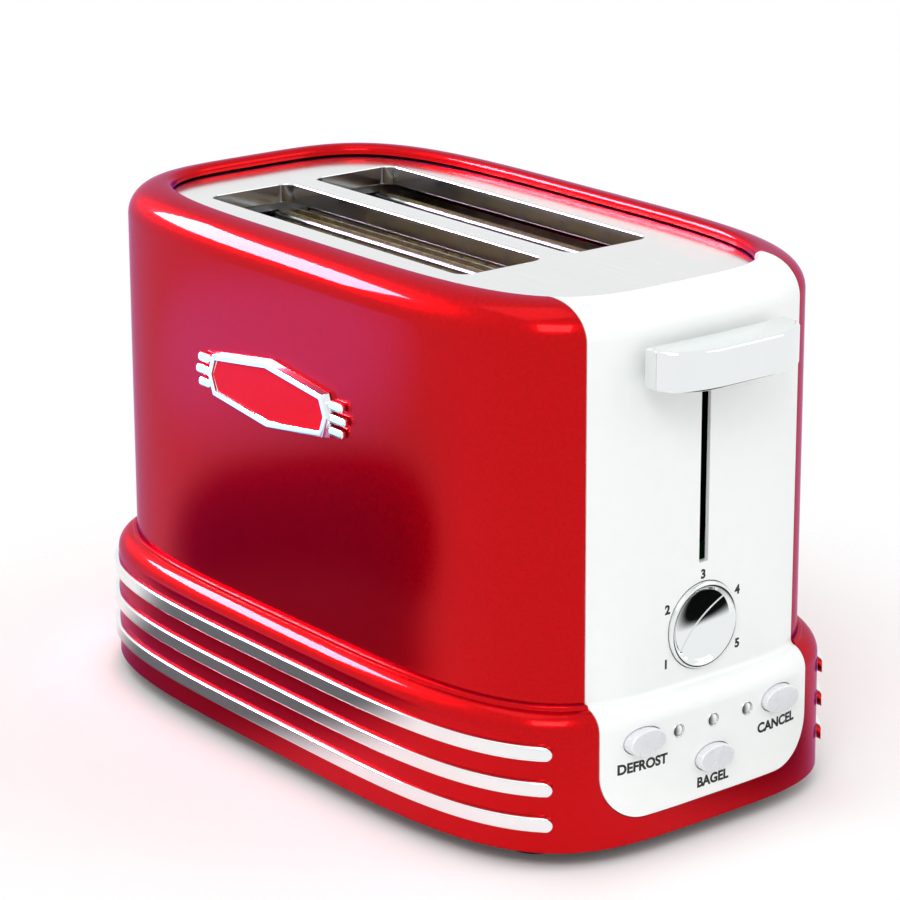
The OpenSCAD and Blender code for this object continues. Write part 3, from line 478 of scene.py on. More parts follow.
@dataclass(frozen=True)
class WoundWire(Finish):
    """Wire wound in close turns, seen as fine lines across the coil."""

    def pattern(self, tree: Tree, place: Socket) -> Socket:
        """Gives lines one wire apart up the coil, from 0 to 1."""
        inputs = {"Vector": place, "Scale": per_mm(self.pattern_mm) / math.tau, "Distortion": 0.3}
        return add_node(tree, "ShaderNodeTexWave", inputs, bands_direction="Z").outputs["Fac"]


@dataclass(frozen=True)
class PaintedLightDome(Finish):
    """A clear moulded dome with painted light and shade: the side that turns left is painted dark as shade,
    and the side that turns right is painted bright as the light a clear dome gathers away from the lamps.
    """

    uneven: float = 0.2
    painted_shade_end: float = -0.6
    painted_light_end: float = 0.3

    def pattern(self, tree: Tree, place: Socket) -> Socket:
        """Gives painted light and shade: more of the second, bright colour where the dome faces right, and
        more of the first, dark colour where it faces left.

        Args:
            tree: The material's node tree.
            place: Coordinates of the pattern.

        Returns:
            A socket from 0 to 1.
        """
        faint = add_node(tree, "ShaderNodeTexNoise", {"Vector": place, "Scale": per_mm(self.pattern_mm)})
        way = add_node(tree, "ShaderNodeNewGeometry").outputs["Normal"]
        right = add_node(tree, "ShaderNodeSeparateXYZ", {0: way}).outputs["X"]
        # Painted light and shade: the more the face turns right, the brighter the dome is painted.
        facing = add_node(tree, "ShaderNodeMath", {0: faint.outputs[0], 1: self.uneven, 2: right},
                          operation="MULTIPLY_ADD")
        return soft_step(tree, facing.outputs[0], self.painted_shade_end, self.painted_light_end)


@dataclass(frozen=True)
class CandyPaint(FlakePaint):
    """A flake paint that keeps its own colour at a slant, with a thin pearl over it."""

    pearl: float = 0.28
    pearl_colour: str = "#A04CFF"
    pearl_roughness: float = 0.35

    def paint(self, tree: Tree, shader: Node) -> None:
        """Tints the shader's edges as well as its face and adds the pearl.

        Args:
            tree: The material's node tree.
            shader: Its principled shader.
        """
        shader.inputs["Specular Tint"].default_value = linear(self.colour)
        shader.inputs["Sheen Weight"].default_value = self.pearl
        shader.inputs["Sheen Tint"].default_value = linear(self.pearl_colour)
        shader.inputs["Sheen Roughness"].default_value = self.pearl_roughness
        super().paint(tree, shader)


# Baked enamel: a candy red over bright flakes under clear lacquer gives deep colour and sharp highlights.
# The flakes are about 0.1 mm and are drawn at 0.7 mm so that they show.
ENAMEL = CandyPaint("red_baked_enamel", "#BE0005", "#C60007", metallic=0.75, roughness=0.22,
                    gloss_spread=0.05, specular=0.03, coat=0.2, coat_roughness=0.02, pattern_mm=0.7,
                    grain_mm=9.0, grain_depth_mm=0.008)
# Painted ABS: the base is moulded and sprayed to match the enamel, and is a shade softer in gloss.
PAINTED_BASE = replace(ENAMEL, name="red_painted_abs", roughness=0.24, coat_roughness=0.03, grain_mm=7.0,
                       grain_depth_mm=0.01)
# Pearl ABS: a cool off-white moulding with a soft gloss and a faint mould texture.
PEARL = Finish("pearl_white_abs", "#EDF1EF", "#F3F5F4", roughness=0.3, ior=1.53, coat=0.25,
               coat_roughness=0.12, pattern_mm=6.0, grain_mm=1.2, grain_depth_mm=0.006)
# Mirror-polished stainless steel: faint lines run along the slots.
POLISHED = Finish("polished_stainless_steel", "#DDE0E1", "#E8EAEA", metallic=1.0, roughness=0.14,
                  pattern_mm=0.9, stretch=(1.0, 0.03, 1.0))
# Chrome plate: bright and cool, with the slight unevenness of plated plastic.
CHROME = Finish("bright_chrome_plate", "#E8ECEC", "#EEF1F1", metallic=1.0, roughness=0.06, gloss_spread=0.03,
                pattern_mm=14.0, grain_mm=16.0, grain_depth_mm=0.02)
# Acrylic inlay: a red sheet under gloss.
INLAY = Finish("red_acrylic_inlay", "#EA0416", "#F20A1E", roughness=0.3, specular=0.04, coat=0.05,
               pattern_mm=6.0)
# Silver-white ABS: sprayed buttons with a satin pearl sheen.
BUTTON = Finish("silver_white_abs", "#E4E6EA", "#E9EBEE", metallic=0.12, roughness=0.28, coat=0.4,
                coat_roughness=0.1, pattern_mm=3.0)
# Clear polycarbonate: small moulded lenses, painted dark grey as shade where they turn left and near white as
# gathered light where they turn right.
LENS = PaintedLightDome("clear_polycarbonate", "#3C4341", "#EDF1EF", roughness=0.08, gloss_spread=0.04,
                     ior=1.585, pattern_mm=2.0)
# Moulded rubber: dull black with a dusty bloom.
RUBBER = Finish("moulded_rubber", "#161616", "#232323", roughness=0.82, gloss_spread=0.12, ior=1.52,
                pattern_mm=2.5, grain_mm=0.5, grain_depth_mm=0.03)
# Zinc-plated steel: bluish grey with a cloudy spangle.
ZINC = Finish("zinc_plated_steel", "#9DA2A5", "#B4B8BA", metallic=1.0, roughness=0.34, gloss_spread=0.14,
              pattern_mm=7.0, grain_mm=1.5, grain_depth_mm=0.008)
# Aluminised sheet: bright reflectors, a little smoked by heat.
REFLECTOR = Finish("aluminised_sheet", "#C9CBCA", "#B9B4AA", metallic=1.0, roughness=0.22, gloss_spread=0.1,
                   pattern_mm=22.0, grain_mm=4.0, grain_depth_mm=0.01)
# Black nylon: a matt moulding with a spark-eroded texture.
NYLON = Finish("black_moulded_nylon", "#171717", "#222323", roughness=0.56, gloss_spread=0.14, ior=1.53,
               pattern_mm=1.6, grain_mm=0.6, grain_depth_mm=0.03)
# Soft iron: dark and plain, with a ground face.
IRON = Finish("ground_soft_iron", "#4A4947", "#5B5A57", metallic=1.0, roughness=0.45, gloss_spread=0.14,
              pattern_mm=1.2, stretch=(0.1, 1.0, 1.0))
# Mica sheet: pressed flakes, pale straw with brown flecks.
MICA = FlakePaint("pressed_mica_sheet", "#B7A375", "#8E7A52", roughness=0.42, gloss_spread=0.2, ior=1.58,
                  pattern_mm=3.2, grain_mm=2.0, grain_depth_mm=0.03)
# Nickel-chrome ribbon: dulled by its own oxide.
RIBBON = Finish("oxidised_nichrome", "#5A524B", "#6F665C", metallic=1.0, roughness=0.5, gloss_spread=0.16,
                pattern_mm=3.0)
# Enamelled copper wire in close turns of 0.4 mm, drawn at 0.8 mm so that they show.
COPPER = WoundWire("enamelled_copper_wire", "#7A3412", "#B4622C", metallic=1.0, roughness=0.3, pattern_mm=0.8)
# Solder mask over glass fibre: green with the weave just visible.
BOARD = Finish("green_solder_mask", "#14512B", "#1C6537", roughness=0.36, pattern_mm=1.5, grain_mm=0.7,
               grain_depth_mm=0.01)
# Cast epoxy of the small lamps: milky.
EPOXY = Finish("milky_epoxy", "#E4DFC8", "#EFEBDA", roughness=0.3, pattern_mm=1.5)
# Pad-printed ink: black with the faint break-up of a thin print.
INK = Finish("black_pad_print", "#141416", "#1F2022", roughness=0.5, gloss_spread=0.1, pattern_mm=0.5)

SIDES = ("left", "right")
SLOT_WALLS = ("left_outer", "left_inner", "right_inner", "right_outer")


def each(stem: str, ends: Sequence[str]) -> tuple[str, ...]:
    """Gives the names of nodes that share a stem."""
    return tuple(f"{stem}_{end}" for end in ends)


CAD_FINISHES: dict[Finish, tuple[str, ...]] = {
    ZINC: ("lever_arm", "carriage_bracket", "knob_shaft", "foot_screws", "crumb_tray", "front_chassis_plate",
           "rear_chassis_plate", "lift_spring", "board_bracket", "magnet_core", "guide_rod",
           *each("bread_rack", SIDES), *each("tray_rail", SIDES), *each("bread_guard", SLOT_WALLS)),
    REFLECTOR: each("reflector", SIDES),
    NYLON: ("bottom_plate", "browning_control", "button_switches"),
    IRON: ("armature",),
    MICA: each("heater_board", SLOT_WALLS),
    RIBBON: each("heater_ribbon", SLOT_WALLS),
    COPPER: ("magnet_coil",),
    BOARD: ("control_board",),
    EPOXY: ("indicator_leds",),
}


def dress(piece: Piece, finish: Finish, body: str, slot: str, *nodes: str) -> None:
    """Gives a finished piece its material and its body, and hides the nodes that it stands for.

    Args:
        piece: The mesh object.
        finish: Its finish.
        body: The body that it moves with.
        slot: The record's material slot; not used.
        nodes: Nodes that it replaces.
    """
    piece.data.materials.clear()
    piece.data.materials.append(finish.material())
    if nodes:
        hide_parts(*nodes)
    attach(piece, body)
    LOG.info("%s: %d faces on %s", piece.name, len(piece.data.polygons), body)


# The shared forms


@dataclass(frozen=True)
class Plan:
    """The rounded-rectangle curve that the body and the skirt follow in plan."""

    power: float = 4.0
    centre_y: float = 5.55963
    steps: int = 264

    @property
    def centre(self) -> Vector:
        """Middle of the curve."""
        return Vector((0, self.centre_y, 0))

    def shape(self) -> list[Point]:
        """Gives the curve's points for half sizes of one.

        Returns:
            Points all round, anticlockwise.
        """
        points = []
        for u, v in circle(self.steps):
            k = (abs(u) ** self.power + abs(v) ** self.power) ** (-1 / self.power)
            points.append((u * k, v * k))
        return points

    def front(self, ring: Ring, x: float) -> float:
        """Gives y of a ring's front at a distance from the middle plane."""
        return self.centre_y - ring.b * (1 - (abs(x) / ring.a) ** self.power) ** (1 / self.power)

    def shell(self, name: str, rings: Sequence[Ring]) -> Piece:
        """Makes a closed shell from a section that runs from the outer foot over the top and back."""
        return loft(name, self.shape(), rings, Axis.UP, self.centre, Ends.LOOPED)


@dataclass(frozen=True)
class BodyForm:
    """The body's outer form, from its foot to the rolled rim."""

    half_w: float = 74.0
    half_len: float = 132.5
    draft: float = 0.5
    foot_z: float = 54.4
    top_z: float = 188.5
    rim_round: float = 12.0
    lip_round: float = 2.5
    plate_z: float = 184.3
    rim_steps: int = 18
    lip_steps: int = 8
    inner_rim_steps: int = 8
    inner_lip_steps: int = 3
    least_round: float = 0.1
    row_mm: float = 6.0

    @property
    def rim_z(self) -> float:
        """Height where the rim's roll starts."""
        return self.top_z - self.rim_round

    @property
    def rim_w(self) -> float:
        """Width of the rim from outside to its inner lip."""
        return self.rim_round + self.lip_round

    def at(self, z: float, inward: float = 0.0) -> Ring:
        """Gives the body's ring at a height, some way inside the outer face."""
        out = self.draft * max(0.0, self.rim_z - z) / (self.rim_z - self.foot_z)
        return Ring(self.half_w + out - inward, self.half_len + out - inward, z)

    def rows(self, low: float, high: float, inward: float = 0.0) -> list[Ring]:
        """Gives evenly spaced rings of the upright wall, some way inside the outer face."""
        count = max(1, round(abs(high - low) / self.row_mm))
        return [self.at(low + (high - low) * i / count, inward) for i in range(count + 1)]

    def rim(self, wall: float, gap: float = 0.0) -> list[Ring]:
        """Gives the rolled rim from outside to its hem and back inside.

        Args:
            wall: Thickness of the wall.
            gap: Distance from the hem to the plate.

        Returns:
            The rings.
        """
        roll = (self.rim_round, self.rim_z)
        lip = (self.rim_round, self.top_z - self.lip_round)
        path = arc(roll, self.rim_round, 180, 90, self.rim_steps)[1:]
        path += arc(lip, self.lip_round, 90, 0, self.lip_steps)[1:]
        path += [(self.rim_w, self.plate_z + gap), (self.rim_w - wall, self.plate_z + gap)]
        path += arc(lip, max(self.lip_round - wall, self.least_round), 0, 90, self.inner_lip_steps)
        path += arc(roll, self.rim_round - wall, 90, 180, self.inner_rim_steps)[1:]
        return [self.at(z, inward) for inward, z in path]


@dataclass(frozen=True)
class BaseForm:
    """The skirt's outer form, from its bottom edge to the rounded shoulder."""

    half_w: float = 81.0
    half_len: float = 139.0
    flare: float = 0.4
    bottom_z: float = 6.4
    top_z: float = 54.4
    shoulder_h: float = 7.5
    shoulder_end: float = 75.0
    shoulder_steps: int = 14

    @property
    def shoulder_z(self) -> float:
        """Height where the shoulder starts."""
        return self.top_z - self.shoulder_h

    def at(self, z: float, inward: float = 0.0) -> Ring:
        """Gives the skirt's ring at a height, some way inside the outer face."""
        out = self.flare * max(0.0, self.shoulder_z - z) / (self.shoulder_z - self.bottom_z)
        return Ring(self.half_w + out - inward, self.half_len + out - inward, z)

    def rows(self, low: float, inward: float = 0.0, count: int = 6) -> list[Ring]:
        """Gives rings of the upright wall from a height to the shoulder."""
        return [self.at(low + (self.shoulder_z - low) * i / count, inward) for i in range(count + 1)]

    def between(self, share: float, z: float, inward: float = 0.0, fit: float = 0.0) -> Ring:
        """Gives a ring part of the way from the skirt in to the body.

        Args:
            share: Part of the way, from 0 to 1.
            z: Height.
            inward: Distance inside the outer face.
            fit: Gap that is left round the body.

        Returns:
            The ring.
        """
        low = self.at(self.shoulder_z, inward)
        high = BODY.at(self.top_z, inward - fit)
        return Ring(low.a + (high.a - low.a) * share, low.b + (high.b - low.b) * share, z)

    def shoulder(self, end: float, inward: float = 0.0, fit: float = 0.0) -> list[Ring]:
        """Gives the rings of the rounded shoulder above its first.

        Args:
            end: Last angle in degrees, where 90 is flat.
            inward: Distance inside the outer face.
            fit: Gap that is left round the body.

        Returns:
            The rings.
        """
        turns = [math.radians(end * i / self.shoulder_steps) for i in range(1, self.shoulder_steps + 1)]
        rise = self.shoulder_h - inward
        return [self.between(1 - math.cos(t), self.shoulder_z + rise * math.sin(t), inward, fit)
                for t in turns]


PLAN = Plan()
BODY = BodyForm()
BASE = BaseForm()


# Pieces


@dataclass
class BodyShell:
    """The red wrap-round body with its rolled rim, open at the front, and the panel let into its rear."""

    wall: float = 1.6
    gap_x: float = 46.6
    ledge_z: float = 52.8
    hem_gap: float = 0.7
    seam: float = 0.3
    gland_z: float = 78.0
    gland_hole: float = 5.55
    gland_steps: int = 48
    edge: float = 0.35

    def wrap(self, name: str) -> Piece:
        """Raises the body's shell all round.

        Args:
            name: Name of the piece.

        Returns:
            The shell, from its ledge over the rim and back inside.
        """
        rings = BODY.rows(self.ledge_z, BODY.rim_z) + BODY.rim(self.wall, self.hem_gap)
        rings += BODY.rows(BODY.rim_z, self.ledge_z, self.wall)[1:]
        return PLAN.shell(name, rings)

    def opening(self, inward: float, top: float) -> list[Point]:
        """Gives the outline of an open end up to a height, with its sides moved in."""
        x = self.gap_x - inward
        return rectangle((-x, 0), (x, top))

    def build(self) -> list[Piece]:
        """Makes the shell and the rear panel with its hole for the cord gland.

        Returns:
            The shell and the panel.
        """
        shell = self.wrap("body_wrap")
        punch(shell, self.opening(0, 2 * BODY.top_z), Axis.FRONT)
        punch(shell, self.opening(0, BODY.rim_z), Axis.REAR)
        soften(shell, self.edge)
        panel = self.wrap("rear_closure")
        punch(panel, self.opening(self.seam, BODY.rim_z - self.seam), Axis.REAR, Cut.KEEP)
        punch(panel, oval((0, self.gland_z), (self.gland_hole, self.gland_hole), self.gland_steps), Axis.REAR)
        soften(panel, self.edge)
        return [shell, panel]

    def dress(self) -> None:
        """Builds the shell and the rear panel and gives them their enamel."""
        for piece, node in zip(self.build(), ("body_shell", "rear_panel")):
            dress(piece, ENAMEL, "chassis", "red_enamel", node)


@dataclass
class BaseSkirt:
    """The wider red skirt with a rounded shoulder and a thin lip against the body.

    The lip's steps give a ring's share of the way in to the body, past the shoulder, and of the lip's height.
    """

    wall: float = 2.2
    lip_h: float = 1.2
    lip_fit: float = 0.2
    lip_steps: tuple[Point, ...] = ((0.03, 0.25), (0.05, 0.7), (0.08, 0.9), (0.12, 1.0))
    ledge_drop: float = 1.6
    ledge_t: float = 1.8
    ledge_reach: float = 1.5
    body_wall: float = 1.6
    notch_x: float = 51.0
    notch_low: float = -20.0
    notch_top: float = 14.3
    notch_round: float = 0.8
    edge: float = 0.3

    def build(self, opening: Sequence[Point]) -> Piece:
        """Raises the skirt and cuts the places of the tongue and the crumb tray.

        Args:
            opening: Outline of the tongue's opening, seen from the front.

        Returns:
            The mesh object.
        """
        ledge_z = BASE.top_z - self.ledge_drop
        share = 1 - math.cos(math.radians(BASE.shoulder_end))
        rings = BASE.rows(BASE.bottom_z) + BASE.shoulder(BASE.shoulder_end, 0, self.lip_fit)
        rings += [BASE.between(share + inward, BASE.top_z + rise * self.lip_h, 0, self.lip_fit)
                  for inward, rise in self.lip_steps]
        rings += [BASE.between(1, z, 0, self.lip_fit) for z in (BASE.top_z + self.lip_h, ledge_z)]
        reach = self.body_wall + self.ledge_reach
        rings += [BODY.at(ledge_z, reach), BODY.at(ledge_z - self.ledge_t, reach),
                  BASE.at(BASE.shoulder_z - self.ledge_t, self.wall), BASE.at(BASE.bottom_z, self.wall)]
        skirt = PLAN.shell("base_shell", rings)
        punch(skirt, opening, Axis.FRONT)
        low, high = (-self.notch_x, self.notch_low), (self.notch_x, self.notch_top)
        punch(skirt, rounded_box(low, high, self.notch_round, steps=3), Axis.REAR)
        soften(skirt, self.edge)
        return skirt

    def dress(self, opening: Sequence[Point]) -> None:
        """Builds the skirt and paints it."""
        dress(self.build(opening), PAINTED_BASE, "chassis", "red_base", "base_skirt")


@dataclass
class FrontPanel:
    """The off-white control panel, from the rolled top edge down to its tongue."""

    half_w: float = 46.3
    wall: float = 2.4
    seam: float = 0.3
    tongue_z: float = 15.2
    tongue_round: float = 17.0
    tongue_steps: int = 20
    foot_extra: float = 3.0
    fillet_h: float = 2.0
    fillet_steps: int = 8
    slot_w: float = 4.0
    slot_low: float = 95.6
    slot_high: float = 171.5
    slot_round: float = 0.4
    slot_wall: float = 1.3
    slot_relief: float = 2.5
    knob_z: float = 73.7
    knob_hole: Point = (15.25, 15.25)
    knob_steps: int = 96
    row_z: float = 41.9
    low_row_z: float = 28.8
    button_x: float = 30.2
    button_hole: Point = (7.95, 4.9)
    button_steps: int = 64
    lens_pitch: float = 15.4
    lens_hole: Point = (2.35, 2.35)
    lens_steps: int = 32
    edge: float = 0.7

    def outline(self, grow: float) -> list[Point]:
        """Gives the panel's outline seen from the front, with round lower corners.

        Args:
            grow: Distance that the outline is moved out.

        Returns:
            Points all round.
        """
        x = self.half_w + grow
        r = self.tongue_round + grow
        z = self.tongue_z - grow
        lower = arc((r - x, z + r), r, 180, 270, self.tongue_steps)
        lower += arc((x - r, z + r), r, 270, 360, self.tongue_steps)
        return lower + [(x, 2 * BODY.top_z), (-x, 2 * BODY.top_z)]

    def rings(self) -> list[Ring]:
        """Gives the panel's section.

        Returns:
            Rings from the outer foot over the rim and back inside.
        """
        low = self.tongue_z - self.foot_extra
        share = 1 - math.cos(math.radians(BASE.shoulder_end))
        top = BASE.shoulder_z + BASE.shoulder_h * math.sin(math.radians(BASE.shoulder_end))
        rings = BASE.rows(low) + BASE.shoulder(BASE.shoulder_end)
        for i in range(1, self.fillet_steps + 1):
            turn = math.radians(90 * i / self.fillet_steps)
            rings.append(BASE.between(share + (1 - share) * math.sin(turn),
                                      top + self.fillet_h * (1 - math.cos(turn))))
        rings += BODY.rows(top + self.fillet_h, BODY.rim_z)[1:] + BODY.rim(self.wall)
        inner = BASE.shoulder(90, self.wall)
        rings += BODY.rows(BODY.rim_z, inner[-1].w, self.wall)[1:-1] + inner[::-1]
        return rings + BASE.rows(low, self.wall)[::-1]

    def build(self) -> Piece:
        """Trims a shell to the panel and cuts the slot and the holes.

        Returns:
            The mesh object.
        """
        panel = PLAN.shell("control_panel", self.rings())
        punch(panel, self.outline(0), Axis.FRONT, Cut.KEEP)
        half = self.slot_w / 2
        slot = rounded_box((-half, self.slot_low), (half, self.slot_high), self.slot_round, steps=2)
        punch(panel, slot, Axis.FRONT)
        wide = half + self.slot_relief
        skin = -self.front(0, self.slot_high) - self.slot_wall
        relief = rectangle((-wide, self.slot_low), (wide, self.slot_high))
        cut(panel, prism("slot_relief", relief, INSIDE, skin, Axis.FRONT))
        for places, hole, steps in (
            ([(0, self.knob_z)], self.knob_hole, self.knob_steps),
            (self.button_places(), self.button_hole, self.button_steps),
            (self.lens_places(), self.lens_hole, self.lens_steps),
        ):
            for at in places:
                punch(panel, oval(at, hole, steps), Axis.FRONT)
        soften(panel, self.edge)
        return panel

    def button_places(self) -> list[Point]:
        """Gives x and z of the defrost, bagel and cancel buttons."""
        return [(-self.button_x, self.row_z), (0.0, self.low_row_z), (self.button_x, self.row_z)]

    def lens_places(self) -> list[Point]:
        """Gives x and z of the left, middle and right lenses."""
        return [(-self.lens_pitch, self.row_z), (0.0, self.row_z), (self.lens_pitch, self.row_z)]

    def front(self, x: float, z: float) -> float:
        """Gives y of the panel's face at a place seen from the front."""
        ring = BASE.at(z) if z < BASE.shoulder_z else BODY.at(z)
        return PLAN.front(ring, x)

    def dress(self) -> None:
        """Builds the panel and gives it its pearl moulding."""
        dress(self.build(), PEARL, "chassis", "panel_plastic", "front_panel")


@dataclass
class TopPlate:
    """The polished plate below the rim with two bread slots whose edges are turned down."""

    inset: float = 12.9
    thick: float = 1.2
    slot_x: float = 23.5
    slot_y: float = 16.0
    slot_w: float = 36.0
    slot_len: float = 148.0
    corner: float = 5.0
    collar_h: float = 6.0
    cut_reach: float = 20.0
    edge: float = 0.55

    def slot(self, side: int, grow: float) -> list[Point]:
        """Gives a slot's outline in plan.

        Args:
            side: Minus one for the left slot, one for the right.
            grow: Distance that the outline is moved out.

        Returns:
            Points all round.
        """
        x = side * self.slot_x
        y = PLAN.centre_y + self.slot_y
        half_w = self.slot_w / 2 + grow
        half_len = self.slot_len / 2 + grow
        return rounded_box((x - half_w, y - half_len), (x + half_w, y + half_len), self.corner + grow)

    def build(self) -> Piece:
        """Makes the plate with its collars and cuts both slots.

        Returns:
            The mesh object.
        """
        low = BODY.plate_z - self.thick
        rings = [Ring(BODY.half_w - self.inset, BODY.half_len - self.inset, z) for z in (low, BODY.plate_z)]
        plate = loft("slot_plate", PLAN.shape(), rings, Axis.UP, PLAN.centre)
        for side in (-1, 1):
            collar = self.slot(side, self.thick)
            cut(plate, prism("collar", collar, low - self.collar_h, low + self.thick / 2, Axis.UP), Cut.ADD)
            slot = self.slot(side, 0)
            cut(plate, prism("slot", slot, low - self.cut_reach, low + self.cut_reach, Axis.UP))
        soften(plate, self.edge, segments=4)
        return plate

    def dress(self) -> None:
        """Builds the plate and gives it its polish."""
        dress(self.build(), POLISHED, "chassis", "polished_steel", "top_plate")


@dataclass
class TrimBands:
    """Three bright bands round the skirt, with rounded tips at the control end."""

    height: float = 5.3
    stand: float = 1.5
    round_edge: float = 0.75
    round_steps: int = 5
    fit: float = 0.1
    pitch: float = 12.4
    low_z: float = 16.8
    tip_x: float = 61.0
    tip_steps: int = 16
    edge: float = 0.4

    def rings(self, z: float) -> list[Ring]:
        """Gives a band's section with rounded outer edges.

        Args:
            z: Height of the band's middle.

        Returns:
            Rings from the lower inner edge to the upper.
        """
        half = self.height / 2
        out = self.stand - self.round_edge
        path = [(self.fit, -half)]
        path += arc((out, self.round_edge - half), self.round_edge, -90, 0, self.round_steps)
        path += arc((out, half - self.round_edge), self.round_edge, 0, 90, self.round_steps)
        path.append((self.fit, half))
        return [BASE.at(z + dz, -outward) for outward, dz in path]

    def build(self, name: str, z: float) -> Piece:
        """Makes one band and rounds its tips.

        Args:
            name: Name of the piece.
            z: Height of its middle.

        Returns:
            The mesh object.
        """
        band = PLAN.shell(name, self.rings(z))
        r = self.height / 2
        x = self.tip_x + r
        low, high = z - 2 * self.height, z + 2 * self.height
        left = [(-x, low), *arc((-x, z), r, -90, 90, self.tip_steps), (-x, high)]
        right = [(x, high), *arc((x, z), r, 90, 270, self.tip_steps), (x, low)]
        punch(band, left + right, Axis.FRONT)
        soften(band, self.edge, angle=50)
        return band

    def dress(self) -> None:
        """Builds the three bands in chrome."""
        for row, name in enumerate(("lower", "middle", "upper")):
            band = self.build("bright_band_" + name, self.low_z + row * self.pitch)
            dress(band, CHROME, "chassis", "chrome_trim", "trim_band_" + name)


@dataclass
class Badge:
    """The bright long-octagon frame on the left side, with a plain red inlay and bars at its ends."""

    length: float = 66.0
    height: float = 25.0
    end_height: float = 16.0
    point: float = 3.0
    border: float = 2.0
    stand: float = 3.0
    slope: float = 1.0
    pocket: float = 1.0
    facing: float = 0.9
    frame_edge: float = 0.25
    bar_len: float = 11.0
    bar_h: float = 3.2
    bar_pitch: float = 4.5
    bar_stand: float = 2.1
    bar_round: float = 1.4
    bar_edge: float = 0.7
    inlay_fit: float = 0.3
    inlay_sink: float = 0.4
    inlay_proud: float = 0.25
    inlay_edge: float = 0.15
    y: float = 5.0
    z: float = 135.2

    def octagon(self, inward: float) -> list[Point]:
        """Gives the octagon seen from the left.

        Args:
            inward: Distance that its sides are moved in.

        Returns:
            Points all round.
        """
        x = self.length / 2 - inward
        top = self.height / 2 - inward
        side = self.end_height / 2 - inward * self.end_height / self.height
        return [(-x - self.point, 0), (-x, side), (0, top), (x, side),
                (x + self.point, 0), (x, -side), (0, -top), (-x, -side)][::-1]

    def bars(self, back: float, centre: Vector) -> list[Piece]:
        """Makes the three short bars at each end.

        Args:
            back: Distance of the badge's back from the middle plane.
            centre: Middle of the badge on that plane.

        Returns:
            The mesh objects.
        """
        bars = []
        for end in (-1, 1):
            for row in (-1, 0, 1):
                half = (self.bar_len - abs(row) * self.point) / 2
                u = end * (self.length + self.bar_len) / 2
                v = row * self.bar_pitch
                outline = rounded_box((u - half, v - self.bar_h / 2), (u + half, v + self.bar_h / 2),
                                      self.bar_round, steps=6)
                bar = prism("bar", outline, back, back + self.bar_stand, Axis.LEFT, centre)
                soften(bar, self.bar_edge, angle=60)
                bars.append(bar)
        return bars

    def build(self, back: float) -> list[Piece]:
        """Makes the frame with its bars, and the inlay.

        Args:
            back: Distance of the badge's back from the middle plane.

        Returns:
            The frame and the inlay.
        """
        centre = Vector((0, PLAN.centre_y + self.y, self.z))
        frame = prism("badge_border", self.octagon(0), back, back + self.stand, Axis.LEFT, centre)
        with editing(frame, "FACE"):
            mesh = bmesh.from_edit_mesh(frame.data)
            for face in mesh.faces:
                face.select_set(face.normal.x < -self.facing)
            bmesh.update_edit_mesh(frame.data)
            shrink = (self.height - 2 * self.slope) / self.height
            wide = (self.length + 2 * self.point - 2 * self.slope) / (self.length + 2 * self.point)
            bpy.ops.transform.resize(value=(1, wide, shrink), center_override=centre * MM)
            bpy.ops.mesh.inset(thickness=self.border * MM, use_even_offset=True)
            bpy.ops.mesh.extrude_region_move(TRANSFORM_OT_translate={"value": (self.pocket * MM, 0, 0)})
        soften(frame, self.frame_edge, angle=20)
        frame = join([frame] + self.bars(back, centre))
        level = back + self.stand - self.pocket
        inlay = prism("badge_inlay", self.octagon(self.border + self.slope + self.inlay_fit),
                      level - self.inlay_sink, level + self.inlay_proud, Axis.LEFT, centre)
        soften(inlay, self.inlay_edge, segments=2)
        return [frame, inlay]

    def dress(self) -> None:
        """Builds the badge on the side of the body."""
        back = -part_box("badge_frame")[1].x / MM
        frame, inlay = self.build(back)
        dress(frame, CHROME, "chassis", "chrome_parts", "badge_frame")
        dress(inlay, INLAY, "chassis", "badge_inlay", "badge_plate")


@dataclass
class Lever:
    """The bright bar of the lever, with a slightly bowed back and round front corners."""

    bow: float = 1.4
    bow_power: float = 3.0
    side: float = 5.6
    flat: float = 20.0
    points: int = 24
    edge: float = 1.2

    def outline(self, half_w: float, front: float, back: float) -> list[Point]:
        """Gives the bar's plan.

        Args:
            half_w: Half its width.
            front: y of the front.
            back: y of the back at the ends.

        Returns:
            Points all round.
        """
        corner_y = back - self.side
        reach = half_w - self.flat / 2
        shares = [i / self.points for i in range(self.points + 1)]
        nose = [(self.flat / 2 + reach * math.cos(math.pi / 2 * k),
                 corner_y + (front - corner_y) * math.sin(math.pi / 2 * k)) for k in shares]
        rear = [(half_w * k, back - self.bow * (1 - k ** self.bow_power)) for k in shares[1:]]
        right = rear + nose
        return right + [(-x, y) for x, y in right[::-1]] + [(0.0, back - self.bow)]

    def build(self) -> Piece:
        """Draws the plan up to its height and rounds its edges.

        Returns:
            The mesh object.
        """
        low, high = (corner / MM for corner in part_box("lever_handle"))
        handle = prism("lever_bar", self.outline(high.x, low.y, high.y), low.z, high.z, Axis.UP)
        soften(handle, self.edge, segments=5, angle=40)
        return handle

    def dress(self) -> None:
        """Builds the bar in chrome."""
        dress(self.build(), CHROME, "carriage", "chrome_parts", "lever_handle")


